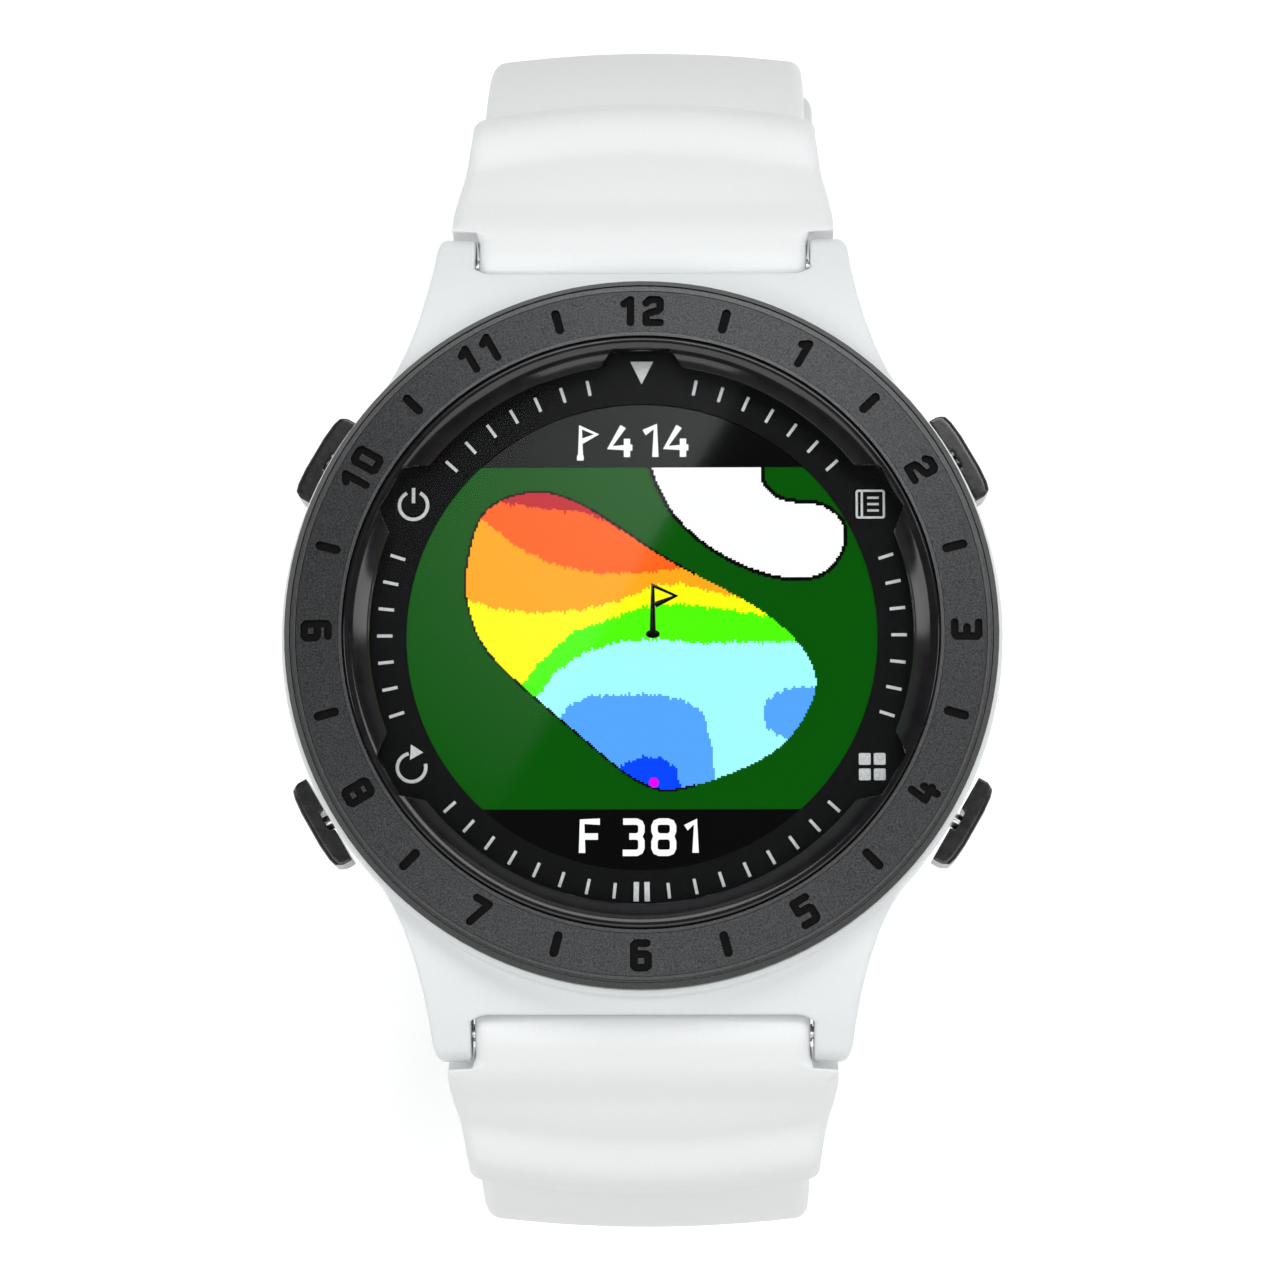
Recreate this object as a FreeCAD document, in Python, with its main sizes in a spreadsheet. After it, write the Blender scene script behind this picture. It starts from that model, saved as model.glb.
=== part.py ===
import FreeCAD, Part
import math
import os

import Sketcher

# Golf GPS watch. Millimetres. The origin is the centre of the case back's outer face,
# +Z goes out through the lens, +Y towards 12 o'clock and +X towards 3 o'clock.

os.makedirs("parts", exist_ok=True)
doc = FreeCAD.newDocument("GolfGpsWatch")
V = FreeCAD.Vector
X_AXIS = V(1, 0, 0)
Y_AXIS = V(0, 1, 0)
Z_AXIS = V(0, 0, 1)

# ---------------------------------------------------------------- driving dimensions

DIMENSIONS = [
    # case
    ("case_radius", 23.35, "outside of the case at the rim"),
    ("case_bore", 19.5, "inside radius of the case wall"),
    ("case_top", 10.4, "height of the case rim"),
    ("case_low", 1.85, "height of the case's underside at the back plate"),
    ("case_floor", 3.2, "top of the floor ring that holds the board posts"),
    ("floor_opening", 14.8, "radius of the opening in the floor ring"),
    ("board_post_radius", 16.6, "where the four board posts stand"),
    ("lug_half_width", 13.6, "half the width over the lugs"),
    ("lug_gap_half", 11.1, "half the gap between the lugs"),
    ("lug_shoulder_y", 17.0, "where the top of the case starts to curve down to the lugs"),
    ("lug_shoulder_radius", 14, "radius of that curve"),
    ("lug_top", 10.0, "height of the deck at the lug shoulder"),
    ("lug_tip_radius", 1.9, "rounding of the lug tip about the spring bar"),
    ("lug_pocket_radius", 2.75, "clearance pocket round the strap's barrel"),
    ("deck_end_y", 24.4, "end of the deck between the lugs"),
    ("bar_y", 25.4, "spring bar, from the watch's centre"),
    ("bar_z", 4.9, "spring bar, above the case back"),
    # case back
    ("back_radius", 17.4, "back plate"),
    ("back_inner", 1.2, "inner face of the back plate"),
    ("gasket_inner", 14.95, "case back gasket"),
    ("gasket_outer", 15.4, "case back gasket"),
    ("gasket_low", 1.35, "bottom of the gasket's groove"),
    ("screw_circle", 16.35, "radius of the case back screws"),
    ("screw_head", 0.75, "radius of a case back screw's head"),
    ("screw_shank", 0.45, "radius of a case back screw's thread"),
    # bezel
    ("bezel_radius", 23.0, "outside of the bezel"),
    ("bezel_rim_radius", 22.45, "top edge of the bezel's outer rim"),
    ("bezel_rim_top", 12.25, "top of the bezel's outer rim"),
    ("bezel_chamfer_low", 11.7, "foot of the bezel's outer chamfer"),
    ("insert_floor", 11.7, "floor of the bezel's channel"),
    ("insert_inner", 19.5, "inside of the hour insert"),
    ("insert_outer", 22.2, "outside of the hour insert"),
    ("insert_top_inner", 12.45, "height of the insert at its inside"),
    ("insert_top_outer", 12.2, "height of the insert at its outside"),
    ("engraving_depth", 0.28, "depth of numerals and hour marks"),
    ("numeral_height", 1.55, "height of a numeral between the middles of its strokes"),
    ("numeral_width", 0.9, "width of a numeral between the middles of its strokes"),
    ("numeral_stroke", 0.25, "half the width of a numeral's stroke"),
    ("mark_stroke", 0.29, "half the width of a mark between two numerals"),
    ("ring_inner", 17.5, "inside of the glossy inner ring"),
    ("ring_outer", 19.2, "outside of the glossy inner ring"),
    ("ring_top", 12.45, "top of the inner ring"),
    ("ring_lip", 11.55, "height of the inner ring at its inside"),
    # glass and display
    ("lens_radius", 18.8, "lens"),
    ("lens_low", 9.85, "underside of the lens"),
    ("lens_top", 11.4, "top of the lens"),
    ("dial_inner", 15.25, "inside of the printed dial ring"),
    ("dial_low", 9.65, "underside of the dial ring"),
    ("panel_radius", 16.2, "display panel"),
    ("panel_low", 8.15, "underside of the display panel"),
    ("panel_top", 9.55, "top of the display panel"),
    ("frame_low", 7.6, "underside of the display frame"),
    # inside
    ("board_low", 4.6, "underside of the main board"),
    ("board_top", 5.3, "top of the main board"),
    ("board_radius", 17.9, "main board"),
    ("battery_side", 19.0, "battery cell"),
    ("battery_low", 1.4, "underside of the battery"),
    ("battery_high", 4.4, "top of the battery"),
    # buttons
    ("button_z", 6.3, "height of the button stems"),
    ("button_travel", 0.6, "how far a button goes in"),
    ("cap_inner", 23.45, "case side of a button cap"),
    ("cap_outer", 24.85, "outside of a button cap"),
    ("cap_half_length", 3.05, "half the length of a cap"),
    ("cap_half_height", 1.7, "half the height of a cap"),
    ("cap_pocket", 22.7, "floor of the pocket in the case side"),
    ("stem_radius", 0.5, "button stem"),
    ("stem_inner", 18.6, "inner end of a stem"),
    ("bush_radius", 1.45, "guide bush"),
    # strap
    ("strap_half_width", 11.0, "half the width of the band"),
    ("tongue_half_width", 10.85, "half the width between the lugs"),
    ("wing_half_width", 12.75, "half the width behind the lugs"),
    ("wing_end_half_width", 11.65, "half the width at the shoulder step"),
    ("root_thickness", 4.4, "strap next to the case"),
    ("band_thickness", 3.0, "strap beyond the shoulder step"),
    ("upper_heading", 20, "angle below level at which the upper strap leaves"),
    ("upper_bend_one", 30.4, "radius of the upper strap's first bend"),
    ("upper_sweep_one", 70, "degrees of the first bend"),
    ("upper_bend_two", 15.7, "radius of the upper strap's second bend"),
    ("upper_sweep_two", 72, "degrees of the second bend"),
    ("lower_heading", 30, "angle below level at which the lower strap leaves"),
    ("lower_bend_one", 21.8, "radius of the lower strap's first bend"),
    ("lower_sweep_one", 60, "degrees of the first bend"),
    ("lower_bend_two", 27.87, "radius of the lower strap's second bend"),
    ("lower_sweep_two", 90, "degrees of the second bend"),
    ("lower_tail", 17.6, "flat end of the lower strap"),
    ("upper_root_sweep", 25, "degrees of thick strap next to the case, upper"),
    ("lower_root_sweep", 32, "degrees of thick strap next to the case, lower"),
    # buckle and keepers
    ("buckle_bar_radius", 0.75, "pin through the strap and the buckle"),
    ("buckle_inner_half", 11.3, "half the inside width of the buckle"),
    ("buckle_outer_half", 13.0, "half the outside width of the buckle"),
    ("buckle_length", 9.2, "bar to the buckle's far side"),
    ("buckle_wire", 1.9, "thickness of the buckle's frame"),
    ("keeper_wall", 1.0, "wall of a keeper"),
    ("keeper_gap", 0.25, "play round the strap inside the free keeper"),
    ("keeper_room", 3.3, "room outside the strap for the other strap's tail"),
    ("keeper_sweep", 16, "degrees of the bend covered by a keeper"),
]

sheet = doc.addObject("Spreadsheet::Sheet", "Dims")
for row, (alias, size, note) in enumerate(DIMENSIONS, start=1):
    sheet.set("A%d" % row, note)
    sheet.set("B%d" % row, str(size))
    sheet.setAlias("B%d" % row, alias)
doc.recompute()


def dim(alias):
    return float(sheet.get(alias))


# ---------------------------------------------------------------- drawing helpers

def origin_feature(body, role):
    return [f for f in body.Origin.OriginFeatures if f.Role == role][0]


def new_sketch(body, role, name, lift=None):
    sketch = body.newObject("Sketcher::SketchObject", name)
    sketch.AttachmentSupport = [(origin_feature(body, role), "")]
    sketch.MapMode = "FlatFace"
    if lift is not None:
        sketch.setExpression("AttachmentOffset.Base.z", lift)
    return sketch


def bind(sketch, constraint, expression):
    index = sketch.addConstraint(constraint)
    sketch.setExpression("Constraints[%d]" % index, expression)


def closed_outline(sketch, corners):
    """A closed run of straight lines; every corner is an (across, up) pair of expressions."""
    first = sketch.GeometryCount
    count = len(corners)
    turn = 2 * math.pi / count
    rough = [V(30 + 5 * math.cos(turn * i), 5 * math.sin(turn * i), 0) for i in range(count)]
    for i in range(count):
        sketch.addGeometry(Part.LineSegment(rough[i], rough[(i + 1) % count]), False)
    for i in range(count):
        after = first + (i + 1) % count
        sketch.addConstraint(Sketcher.Constraint("Coincident", first + i, 2, after, 1))
    for i, (across, up) in enumerate(corners):
        place = first + i
        bind(sketch, Sketcher.Constraint("DistanceX", -1, 1, place, 1, 1.0), across)
        bind(sketch, Sketcher.Constraint("DistanceY", -1, 1, place, 1, 1.0), up)


def circle(sketch, across, up, radius):
    place = sketch.addGeometry(Part.Circle(V(dim("button_z"), 1, 0), Z_AXIS, 1.0), False)
    bind(sketch, Sketcher.Constraint("DistanceX", -1, 1, place, 3, 1.0), across)
    bind(sketch, Sketcher.Constraint("DistanceY", -1, 1, place, 3, 1.0), up)
    bind(sketch, Sketcher.Constraint("Radius", place, 1.0), radius)


def turned(name, corners):
    """A piece turned about the watch's axis from a (radius, height) outline."""
    body = doc.addObject("PartDesign::Body", name)
    sketch = new_sketch(body, "XZ_Plane", name + "_section")
    closed_outline(sketch, corners)
    solid = body.newObject("PartDesign::Revolution", name + "_turn")
    solid.Profile = sketch
    solid.ReferenceAxis = (origin_feature(body, "Z_Axis"), [""])
    solid.Angle = 360
    doc.recompute()
    return body


def band(name, inner, outer, low, high):
    """A plain ring, or a disc where the inside radius is 0."""
    return turned(name, [(inner, low), (outer, low), (outer, high), (inner, high)])


def extruded(name, role, corners, length, lift=None, both_ways=False):
    """A straight prism of an outline on one of the body's own planes."""
    body = doc.addObject("PartDesign::Body", name)
    sketch = new_sketch(body, role, name + "_outline", lift)
    closed_outline(sketch, corners)
    pad = body.newObject("PartDesign::Pad", name + "_pad")
    pad.Profile = sketch
    pad.setExpression("Length", length)
    pad.Midplane = both_ways
    doc.recompute()
    return body


def add_fillet(body, radius, wanted):
    """Rounds the edges of the body's tip whose middle point the test accepts."""
    sharp = body.Tip
    names = []
    for number, edge in enumerate(sharp.Shape.Edges, start=1):
        middle = edge.valueAt((edge.FirstParameter + edge.LastParameter) / 2)
        if wanted(edge, middle):
            names.append("Edge%d" % number)
    fillet = body.newObject("PartDesign::Fillet", body.Name + "_round")
    fillet.Base = (sharp, names)
    fillet.Radius = radius
    doc.recompute()
    return fillet


def runs_along(edge, direction):
    first = edge.Vertexes[0].Point
    last = edge.Vertexes[-1].Point
    span = last.sub(first)
    return span.Length > 0.05 and abs(span.normalize().dot(direction)) > 0.999


def cylinder(name, radius, height, base, direction=Z_AXIS, angle=360):
    """A cylinder from its base point along a direction; sizes are expressions."""
    solid = doc.addObject("Part::Cylinder", name)
    solid.setExpression("Radius", radius)
    solid.setExpression("Height", height)
    solid.Angle = angle
    solid.Placement = FreeCAD.Placement(base, FreeCAD.Rotation(Z_AXIS, direction))
    return solid


def block(name, length, width, height, corner):
    solid = doc.addObject("Part::Box", name)
    solid.setExpression("Length", length)
    solid.setExpression("Width", width)
    solid.setExpression("Height", height)
    solid.Placement.Base = corner
    return solid


def cut(name, base, tools):
    tool = tools[0]
    if len(tools) > 1:
        tool = join(name + "_tools", tools)
    solid = doc.addObject("Part::Cut", name)
    solid.Base = base
    solid.Tool = tool
    doc.recompute()
    return solid


def join(name, pieces):
    solid = doc.addObject("Part::MultiFuse", name)
    solid.Shapes = pieces
    doc.recompute()
    return solid


def overlap(name, pieces):
    solid = doc.addObject("Part::MultiCommon", name)
    solid.Shapes = pieces
    doc.recompute()
    return solid


def together(name, pieces):
    """Separate solids that share one name, such as a set of screws."""
    group = doc.addObject("Part::Compound", name)
    group.Links = pieces
    doc.recompute()
    return group


def turn_about_watch(solid, degrees):
    """Turns a finished piece about the watch's own axis."""
    spin = FreeCAD.Placement(V(0, 0, 0), FreeCAD.Rotation(Z_AXIS, degrees))
    solid.Placement = spin.multiply(solid.Placement)
    return solid


def polar(radius, degrees, height):
    angle = math.radians(degrees)
    return V(radius * math.cos(angle), radius * math.sin(angle), height)


nodes = []


def keep(solid, label):
    """Marks a finished piece for export under its own name."""
    solid.Label = label
    nodes.append(solid)
    return solid


# ---------------------------------------------------------------- case

BUTTONS = [("power", 150), ("back", 210), ("scorecard", 30), ("menu", 330)]
QUARTERS = [45, 135, 225, 315]

case_barrel = turned("CaseBarrel", [
    ("Dims.case_bore", "Dims.case_top"),
    ("Dims.case_radius - 0.45", "Dims.case_top"),
    ("Dims.case_radius - 0.12", "Dims.case_top - 0.12"),
    ("Dims.case_radius", "Dims.case_top - 0.45"),
    ("Dims.case_radius", "5.6"),
    ("Dims.case_radius - 0.35", "4.0"),
    ("Dims.case_radius - 1.5", "2.3"),
    ("Dims.case_radius - 3.4", "1.1"),
    ("Dims.back_radius + 0.1", "0.7"),
    ("Dims.back_radius + 0.1", "Dims.case_low"),
    ("Dims.floor_opening", "Dims.case_low"),
    ("Dims.floor_opening", "Dims.case_floor"),
    ("Dims.case_bore", "Dims.case_floor"),
])


def lug_pair(side, degrees):
    """Lugs and the deck between them at one end of the case, before the strap's gap is cut."""
    plan = extruded("LugPlan" + side, "XY_Plane", [
        ("-17.9", "14.6"),
        ("-16.9", "16.0"),
        ("-16.05", "17.4"),
        ("-15.25", "19.1"),
        ("-14.6", "21.0"),
        ("-14.1", "23.0"),
        ("-13.75", "25.0"),
        ("-Dims.lug_half_width", "26.3"),
        ("-Dims.lug_half_width + 0.25", "27.0"),
        ("-Dims.lug_half_width + 0.9", "Dims.bar_y + Dims.lug_tip_radius + 0.3"),
        ("Dims.lug_half_width - 0.9", "Dims.bar_y + Dims.lug_tip_radius + 0.3"),
        ("Dims.lug_half_width - 0.25", "27.0"),
        ("Dims.lug_half_width", "26.3"),
        ("13.75", "25.0"),
        ("14.1", "23.0"),
        ("14.6", "21.0"),
        ("15.25", "19.1"),
        ("16.05", "17.4"),
        ("16.9", "16.0"),
        ("17.9", "14.6"),
    ], "12")
    profile = doc.addObject("PartDesign::Body", "LugSide" + side)
    sketch = new_sketch(profile, "YZ_Plane", "LugSide" + side + "_outline")
    slope_foot = V(26.4, 6.5, 0)
    slope_head = V(23.4, 8.6, 0)
    under_foot = V(25.2, 3.0, 0)
    middle = V(dim("bar_y"), dim("bar_z"), 0)
    crown = V(16.8, -4.0, 0)
    outline = [
        Part.LineSegment(V(12, 1.5, 0), V(12, 10, 0)),
        Part.LineSegment(V(12, 10, 0), V(16.8, 10, 0)),
        Part.ArcOfCircle(Part.Circle(crown, Z_AXIS, 14), math.radians(60), math.radians(90)),
        Part.LineSegment(slope_head, slope_foot),
        Part.ArcOfCircle(Part.Circle(middle, Z_AXIS, 1.9), math.radians(-95), math.radians(60)),
        Part.LineSegment(under_foot, V(19.5, 1.5, 0)),
        Part.LineSegment(V(19.5, 1.5, 0), V(12, 1.5, 0)),
    ]
    sketch.addGeometry(outline, False)
    link = Sketcher.Constraint
    sketch.addConstraint([
        link("Coincident", 0, 2, 1, 1),
        link("Tangent", 1, 2, 2, 2),
        link("Tangent", 2, 1, 3, 1),
        link("Tangent", 3, 2, 4, 2),
        link("Tangent", 4, 1, 5, 1),
        link("Coincident", 5, 2, 6, 1),
        link("Coincident", 6, 2, 0, 1),
        link("Vertical", 0),
        link("Horizontal", 1),
        link("Horizontal", 6),
    ])
    bind(sketch, link("DistanceX", -1, 1, 0, 1, 12.0), "14.2")
    bind(sketch, link("DistanceY", -1, 1, 0, 1, 1.5), "1.45")
    bind(sketch, link("DistanceX", -1, 1, 1, 2, 16.8), "Dims.lug_shoulder_y")
    bind(sketch, link("Radius", 2, 14.0), "Dims.lug_shoulder_radius")
    bind(sketch, link("DistanceY", -1, 1, 1, 2, 10.0), "Dims.lug_top")
    bind(sketch, link("DistanceX", -1, 1, 4, 3, 25.4), "Dims.bar_y")
    bind(sketch, link("DistanceY", -1, 1, 4, 3, 4.9), "Dims.bar_z")
    bind(sketch, link("Radius", 4, 1.9), "Dims.lug_tip_radius")
    bind(sketch, link("DistanceX", -1, 1, 5, 2, 19.5), "18.6")
    pad = profile.newObject("PartDesign::Pad", "LugSide" + side + "_pad")
    pad.Profile = sketch
    pad.Midplane = True
    pad.Length = 40
    doc.recompute()
    pair = overlap("LugPair" + side, [plan, profile])
    return turn_about_watch(pair, degrees)


def lug_gap(side, degrees):
    """The gap that takes the strap's end: open outside the deck, round about the bar."""
    width = "2 * Dims.lug_gap_half"
    half = dim("lug_gap_half")
    opening = extruded("LugOpening" + side, "XY_Plane", [
        ("-Dims.lug_gap_half", "Dims.deck_end_y + 8"),
        ("-Dims.lug_gap_half", "Dims.deck_end_y + 1.0"),
        ("-Dims.lug_gap_half + 0.13", "Dims.deck_end_y + 0.5"),
        ("-Dims.lug_gap_half + 0.5", "Dims.deck_end_y + 0.13"),
        ("-Dims.lug_gap_half + 1.0", "Dims.deck_end_y"),
        ("Dims.lug_gap_half - 1.0", "Dims.deck_end_y"),
        ("Dims.lug_gap_half - 0.5", "Dims.deck_end_y + 0.13"),
        ("Dims.lug_gap_half - 0.13", "Dims.deck_end_y + 0.5"),
        ("Dims.lug_gap_half", "Dims.deck_end_y + 1.0"),
        ("Dims.lug_gap_half", "Dims.deck_end_y + 8"),
    ], "14", "-1")
    start = V(-half, dim("bar_y"), dim("bar_z"))
    pocket = cylinder("LugPocket" + side, "Dims.lug_pocket_radius", width, start, X_AXIS)
    under = block("LugUnder" + side, width, "Dims.lug_pocket_radius + 2", "4.9",
                  V(-half, dim("bar_y") - dim("lug_pocket_radius"), 0))
    gap = join("LugGap" + side, [opening, pocket, under])
    return turn_about_watch(gap, degrees)


def bar_holes(side, degrees):
    """Blind holes in both lugs for the spring bar's tips."""
    start = V(-12.4, dim("bar_y"), dim("bar_z"))
    hole = cylinder("BarHole" + side, "0.45", "24.8", start, X_AXIS)
    return turn_about_watch(hole, degrees)


def button_pocket(label, degrees):
    """Pocket in the case side for one cap, and the bore for its guide bush."""
    pocket = block("CapPocket_" + label, "4", "2 * Dims.cap_half_length + 0.6",
                   "2 * Dims.cap_half_height + 0.6",
                   V(dim("cap_pocket"), -dim("cap_half_length") - 0.3,
                     dim("button_z") - dim("cap_half_height") - 0.3))
    bore = cylinder("BushBore_" + label, "Dims.bush_radius", "8",
                    V(18, 0, dim("button_z")), X_AXIS)
    return turn_about_watch(join("ButtonPocket_" + label, [pocket, bore]), degrees)


posts = [
    cylinder("BoardPost%d" % angle, "1.1", "Dims.board_low - Dims.case_floor + 0.2",
             polar(dim("board_post_radius"), angle, dim("case_floor") - 0.2))
    for angle in (0, 90, 180, 270)
]
screw_holes = [
    cylinder("BackScrewHole%d" % angle, "Dims.screw_shank", "1.2",
             polar(dim("screw_circle"), angle, dim("case_low") - 0.1))
    for angle in QUARTERS
]
board_screw_holes = [
    cylinder("BoardScrewHole%d" % angle, "0.4", "2",
             polar(dim("board_post_radius"), angle, dim("board_low") - 1.2))
    for angle in (0, 90, 180, 270)
]
hollow = cylinder("CaseHollow", "Dims.case_bore", "10", V(0, 0, dim("case_floor")))
lugs_only = cut("LugsOnly", join("LugsSolid", [lug_pair("Upper", 0), lug_pair("Lower", 180)]),
                [hollow, cylinder("UnderHollow", "Dims.back_radius + 0.1", "4", V(0, 0, -0.5))])
case_solid = join("CaseSolid", [case_barrel, lugs_only] + posts)
case_cuts = [lug_gap("Upper", 0), lug_gap("Lower", 180)]
case_cuts += [bar_holes("Upper", 0), bar_holes("Lower", 180)]
case_cuts += [button_pocket(label, degrees) for label, degrees in BUTTONS]
case_cuts += screw_holes + board_screw_holes
keep(cut("CaseMiddle", case_solid, case_cuts), "case_middle")

# ---------------------------------------------------------------- case back

back_plate = turned("BackPlate", [
    ("0", "0"),
    ("Dims.back_radius - 0.7", "0"),
    ("Dims.back_radius", "0.55"),
    ("Dims.back_radius", "Dims.case_low"),
    ("Dims.gasket_outer", "Dims.case_low"),
    ("Dims.gasket_outer", "Dims.gasket_low"),
    ("Dims.gasket_inner", "Dims.gasket_low"),
    ("Dims.gasket_inner", "Dims.case_low"),
    ("Dims.gasket_inner - 0.5", "Dims.case_low"),
    ("Dims.gasket_inner - 0.7", "Dims.back_inner"),
    ("0", "Dims.back_inner"),
])
back_cuts = []
screws = []
for angle in QUARTERS:
    circle_point = polar(dim("screw_circle"), angle, 0)
    head_low = V(circle_point.x, circle_point.y, 0.3)
    head_hole = cylinder("HeadHole%d" % angle, "Dims.screw_head + 0.05", "1.3",
                         circle_point.sub(V(0, 0, 0.3)))
    shank_hole = cylinder("ShankHole%d" % angle, "Dims.screw_shank + 0.05", "3", circle_point)
    back_cuts += [head_hole, shank_hole]
    head = cylinder("ScrewHead%d" % angle, "Dims.screw_head", "0.7", head_low)
    shank = cylinder("ScrewShank%d" % angle, "Dims.screw_shank", "1.9",
                     V(circle_point.x, circle_point.y, 1.0))
    slot = block("ScrewSlot%d" % angle, "0.9", "0.22", "0.3",
                 V(circle_point.x - 0.45, circle_point.y - 0.11, 0.2))
    screws.append(cut("BackScrew%d" % angle, join("ScrewSolid%d" % angle, [head, shank]), [slot]))

CONTACTS = [-3.75, -1.25, 1.25, 3.75]
contacts = []
for number, across in enumerate(CONTACTS):
    face = V(across, -9, 0.05)
    back_cuts.append(cylinder("ContactHole%d" % number, "0.75", "3", V(across, -9, -1)))
    contacts.append(cylinder("Contact%d" % number, "0.75", "1.3", face))
keep(cut("CaseBack", back_plate, back_cuts), "case_back")
keep(together("CaseBackScrews", screws), "case_back_screws")
keep(band("BackGasket", "Dims.gasket_inner", "Dims.gasket_outer",
          "Dims.gasket_low", "Dims.case_low"), "case_back_gasket")
keep(together("ChargingContacts", contacts), "charging_contacts")

# ---------------------------------------------------------------- bezel

keep(turned("Bezel", [
    ("Dims.bezel_rim_radius - 0.2", "Dims.bezel_rim_top"),
    ("Dims.bezel_rim_radius", "Dims.bezel_rim_top"),
    ("Dims.bezel_rim_radius + 0.03", "Dims.bezel_rim_top - 0.22"),
    ("Dims.bezel_rim_radius + 0.13", "Dims.bezel_rim_top - 0.22"),
    ("Dims.bezel_rim_radius + 0.18", "Dims.bezel_rim_top - 0.05"),
    ("Dims.bezel_radius", "Dims.bezel_chamfer_low"),
    ("Dims.bezel_radius", "Dims.case_top + 0.1"),
    ("Dims.bezel_radius - 0.1", "Dims.case_top"),
    ("Dims.case_bore - 0.05", "Dims.case_top"),
    ("Dims.case_bore - 0.05", "8.3"),
    ("17.9", "8.3"),
    ("17.9", "9.3"),
    ("Dims.lens_radius + 0.03", "9.3"),
    ("Dims.lens_radius + 0.03", "Dims.lens_top"),
    ("Dims.ring_outer + 0.05", "Dims.lens_top"),
    ("Dims.ring_outer + 0.05", "Dims.ring_top + 0.05"),
    ("Dims.insert_inner - 0.03", "Dims.ring_top + 0.05"),
    ("Dims.insert_inner - 0.03", "Dims.insert_floor"),
    ("Dims.insert_outer + 0.03", "Dims.insert_floor"),
    ("Dims.insert_outer + 0.03", "Dims.bezel_rim_top"),
]), "bezel")

# Numerals are open strokes on a grid 1 wide and 2 high; widened they become engravings.
STROKES = {
    "1": [[(0.15, 1.62), (0.62, 2.0), (0.62, 0.0)]],
    "2": [[(0, 1.7), (0.25, 2), (0.85, 2), (1, 1.85), (1, 1.2), (0.85, 1.05), (0.15, 0.8),
           (0, 0.65), (0, 0), (1, 0)]],
    "3": [[(0, 2), (0.85, 2), (1, 1.85), (1, 1.15), (0.85, 1.02), (0.35, 1.02)],
          [(0.85, 1.02), (1, 0.88), (1, 0.15), (0.85, 0), (0, 0)]],
    "4": [[(0.15, 2), (0, 0.6), (1, 0.6)], [(0.78, 1.25), (0.78, 0)]],
    "5": [[(1, 2), (0, 2), (0, 1.12), (0.85, 1.12), (1, 0.97), (1, 0.15), (0.85, 0), (0, 0)]],
    "6": [[(0.9, 2), (0.15, 2), (0, 1.85), (0, 0.15), (0.15, 0), (0.85, 0), (1, 0.15),
           (1, 0.97), (0.85, 1.1), (0, 1.1)]],
    "7": [[(0, 2), (1, 2), (0.4, 0)]],
    "8": [[(0.15, 1.05), (0, 1.2), (0, 1.85), (0.15, 2), (0.85, 2), (1, 1.85), (1, 1.2),
           (0.85, 1.05), (0.15, 1.05), (0, 0.9), (0, 0.15), (0.15, 0), (0.85, 0), (1, 0.15),
           (1, 0.9), (0.85, 1.05)]],
    "9": [[(0.1, 0), (0.85, 0), (1, 0.15), (1, 1.85), (0.85, 2), (0.15, 2), (0, 1.85),
           (0, 1.03), (0.15, 0.9), (1, 0.9)]],
    "0": [[(0.15, 0), (0.85, 0), (1, 0.15), (1, 1.85), (0.85, 2), (0.15, 2), (0, 1.85),
           (0, 0.15), (0.15, 0)]],
}
GLYPH_STEP = 1.75


def stroke_solid(points, half_width, depth):
    """A groove cutter along a run of points, rounded at its corners and ends."""
    solids = []
    for first, last in zip(points, points[1:]):
        run = last.sub(first)
        side = V(-run.y, run.x, 0).normalize().multiply(half_width)
        corners = [first.add(side), first.sub(side), last.sub(side), last.add(side)]
        face = Part.Face(Part.makePolygon(corners + corners[:1]))
        solids.append(face.extrude(V(0, 0, depth)))
    for point in points:
        solids.append(Part.makeCylinder(half_width, depth, point))
    return solids[0].fuse(solids[1:])


def text_cutters(text, height, half_width, depth):
    """Cutters for a word of digits, centred on the origin and facing +Z."""
    rise = height / 2
    wide = dim("numeral_width")
    width = (len(text) - 1) * GLYPH_STEP + 1
    cutters = []
    for place, glyph in enumerate(text):
        left = place * GLYPH_STEP - width / 2
        for stroke in STROKES[glyph]:
            points = [V((left + x) * wide, (y - 1) * rise, 0) for x, y in stroke]
            cutters.append(stroke_solid(points, half_width, depth))
    return cutters


def on_insert(shape, clock_degrees, flipped):
    """Lays a cutter flat on the insert's sloping face at a clock angle."""
    inner = dim("insert_inner")
    outer = dim("insert_outer")
    fall = dim("insert_top_inner") - dim("insert_top_outer")
    slope = math.degrees(math.atan2(fall, outer - inner))
    height = (dim("insert_top_inner") + dim("insert_top_outer")) / 2 - dim("engraving_depth")
    spot = FreeCAD.Placement(V(0, (inner + outer) / 2, height), FreeCAD.Rotation(X_AXIS, -slope))
    upside = FreeCAD.Placement(V(0, 0, 0), FreeCAD.Rotation(Z_AXIS, 180 if flipped else 0))
    spin = FreeCAD.Placement(V(0, 0, 0), FreeCAD.Rotation(Z_AXIS, -clock_degrees))
    moved = shape.copy()
    moved.Placement = spin.multiply(spot).multiply(upside)
    return moved


engraving = []
for hour in range(1, 13):
    reads_inward = 4 <= hour <= 8
    for cutter in text_cutters(str(hour), dim("numeral_height"), dim("numeral_stroke"), 1.0):
        engraving.append(on_insert(cutter, hour * 30, reads_inward))
for half_hour in range(12):
    mark = stroke_solid([V(0, -0.55, 0), V(0, 0.55, 0)], dim("mark_stroke"), 1.0)
    engraving.append(on_insert(mark, half_hour * 30 + 15, False))

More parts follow.
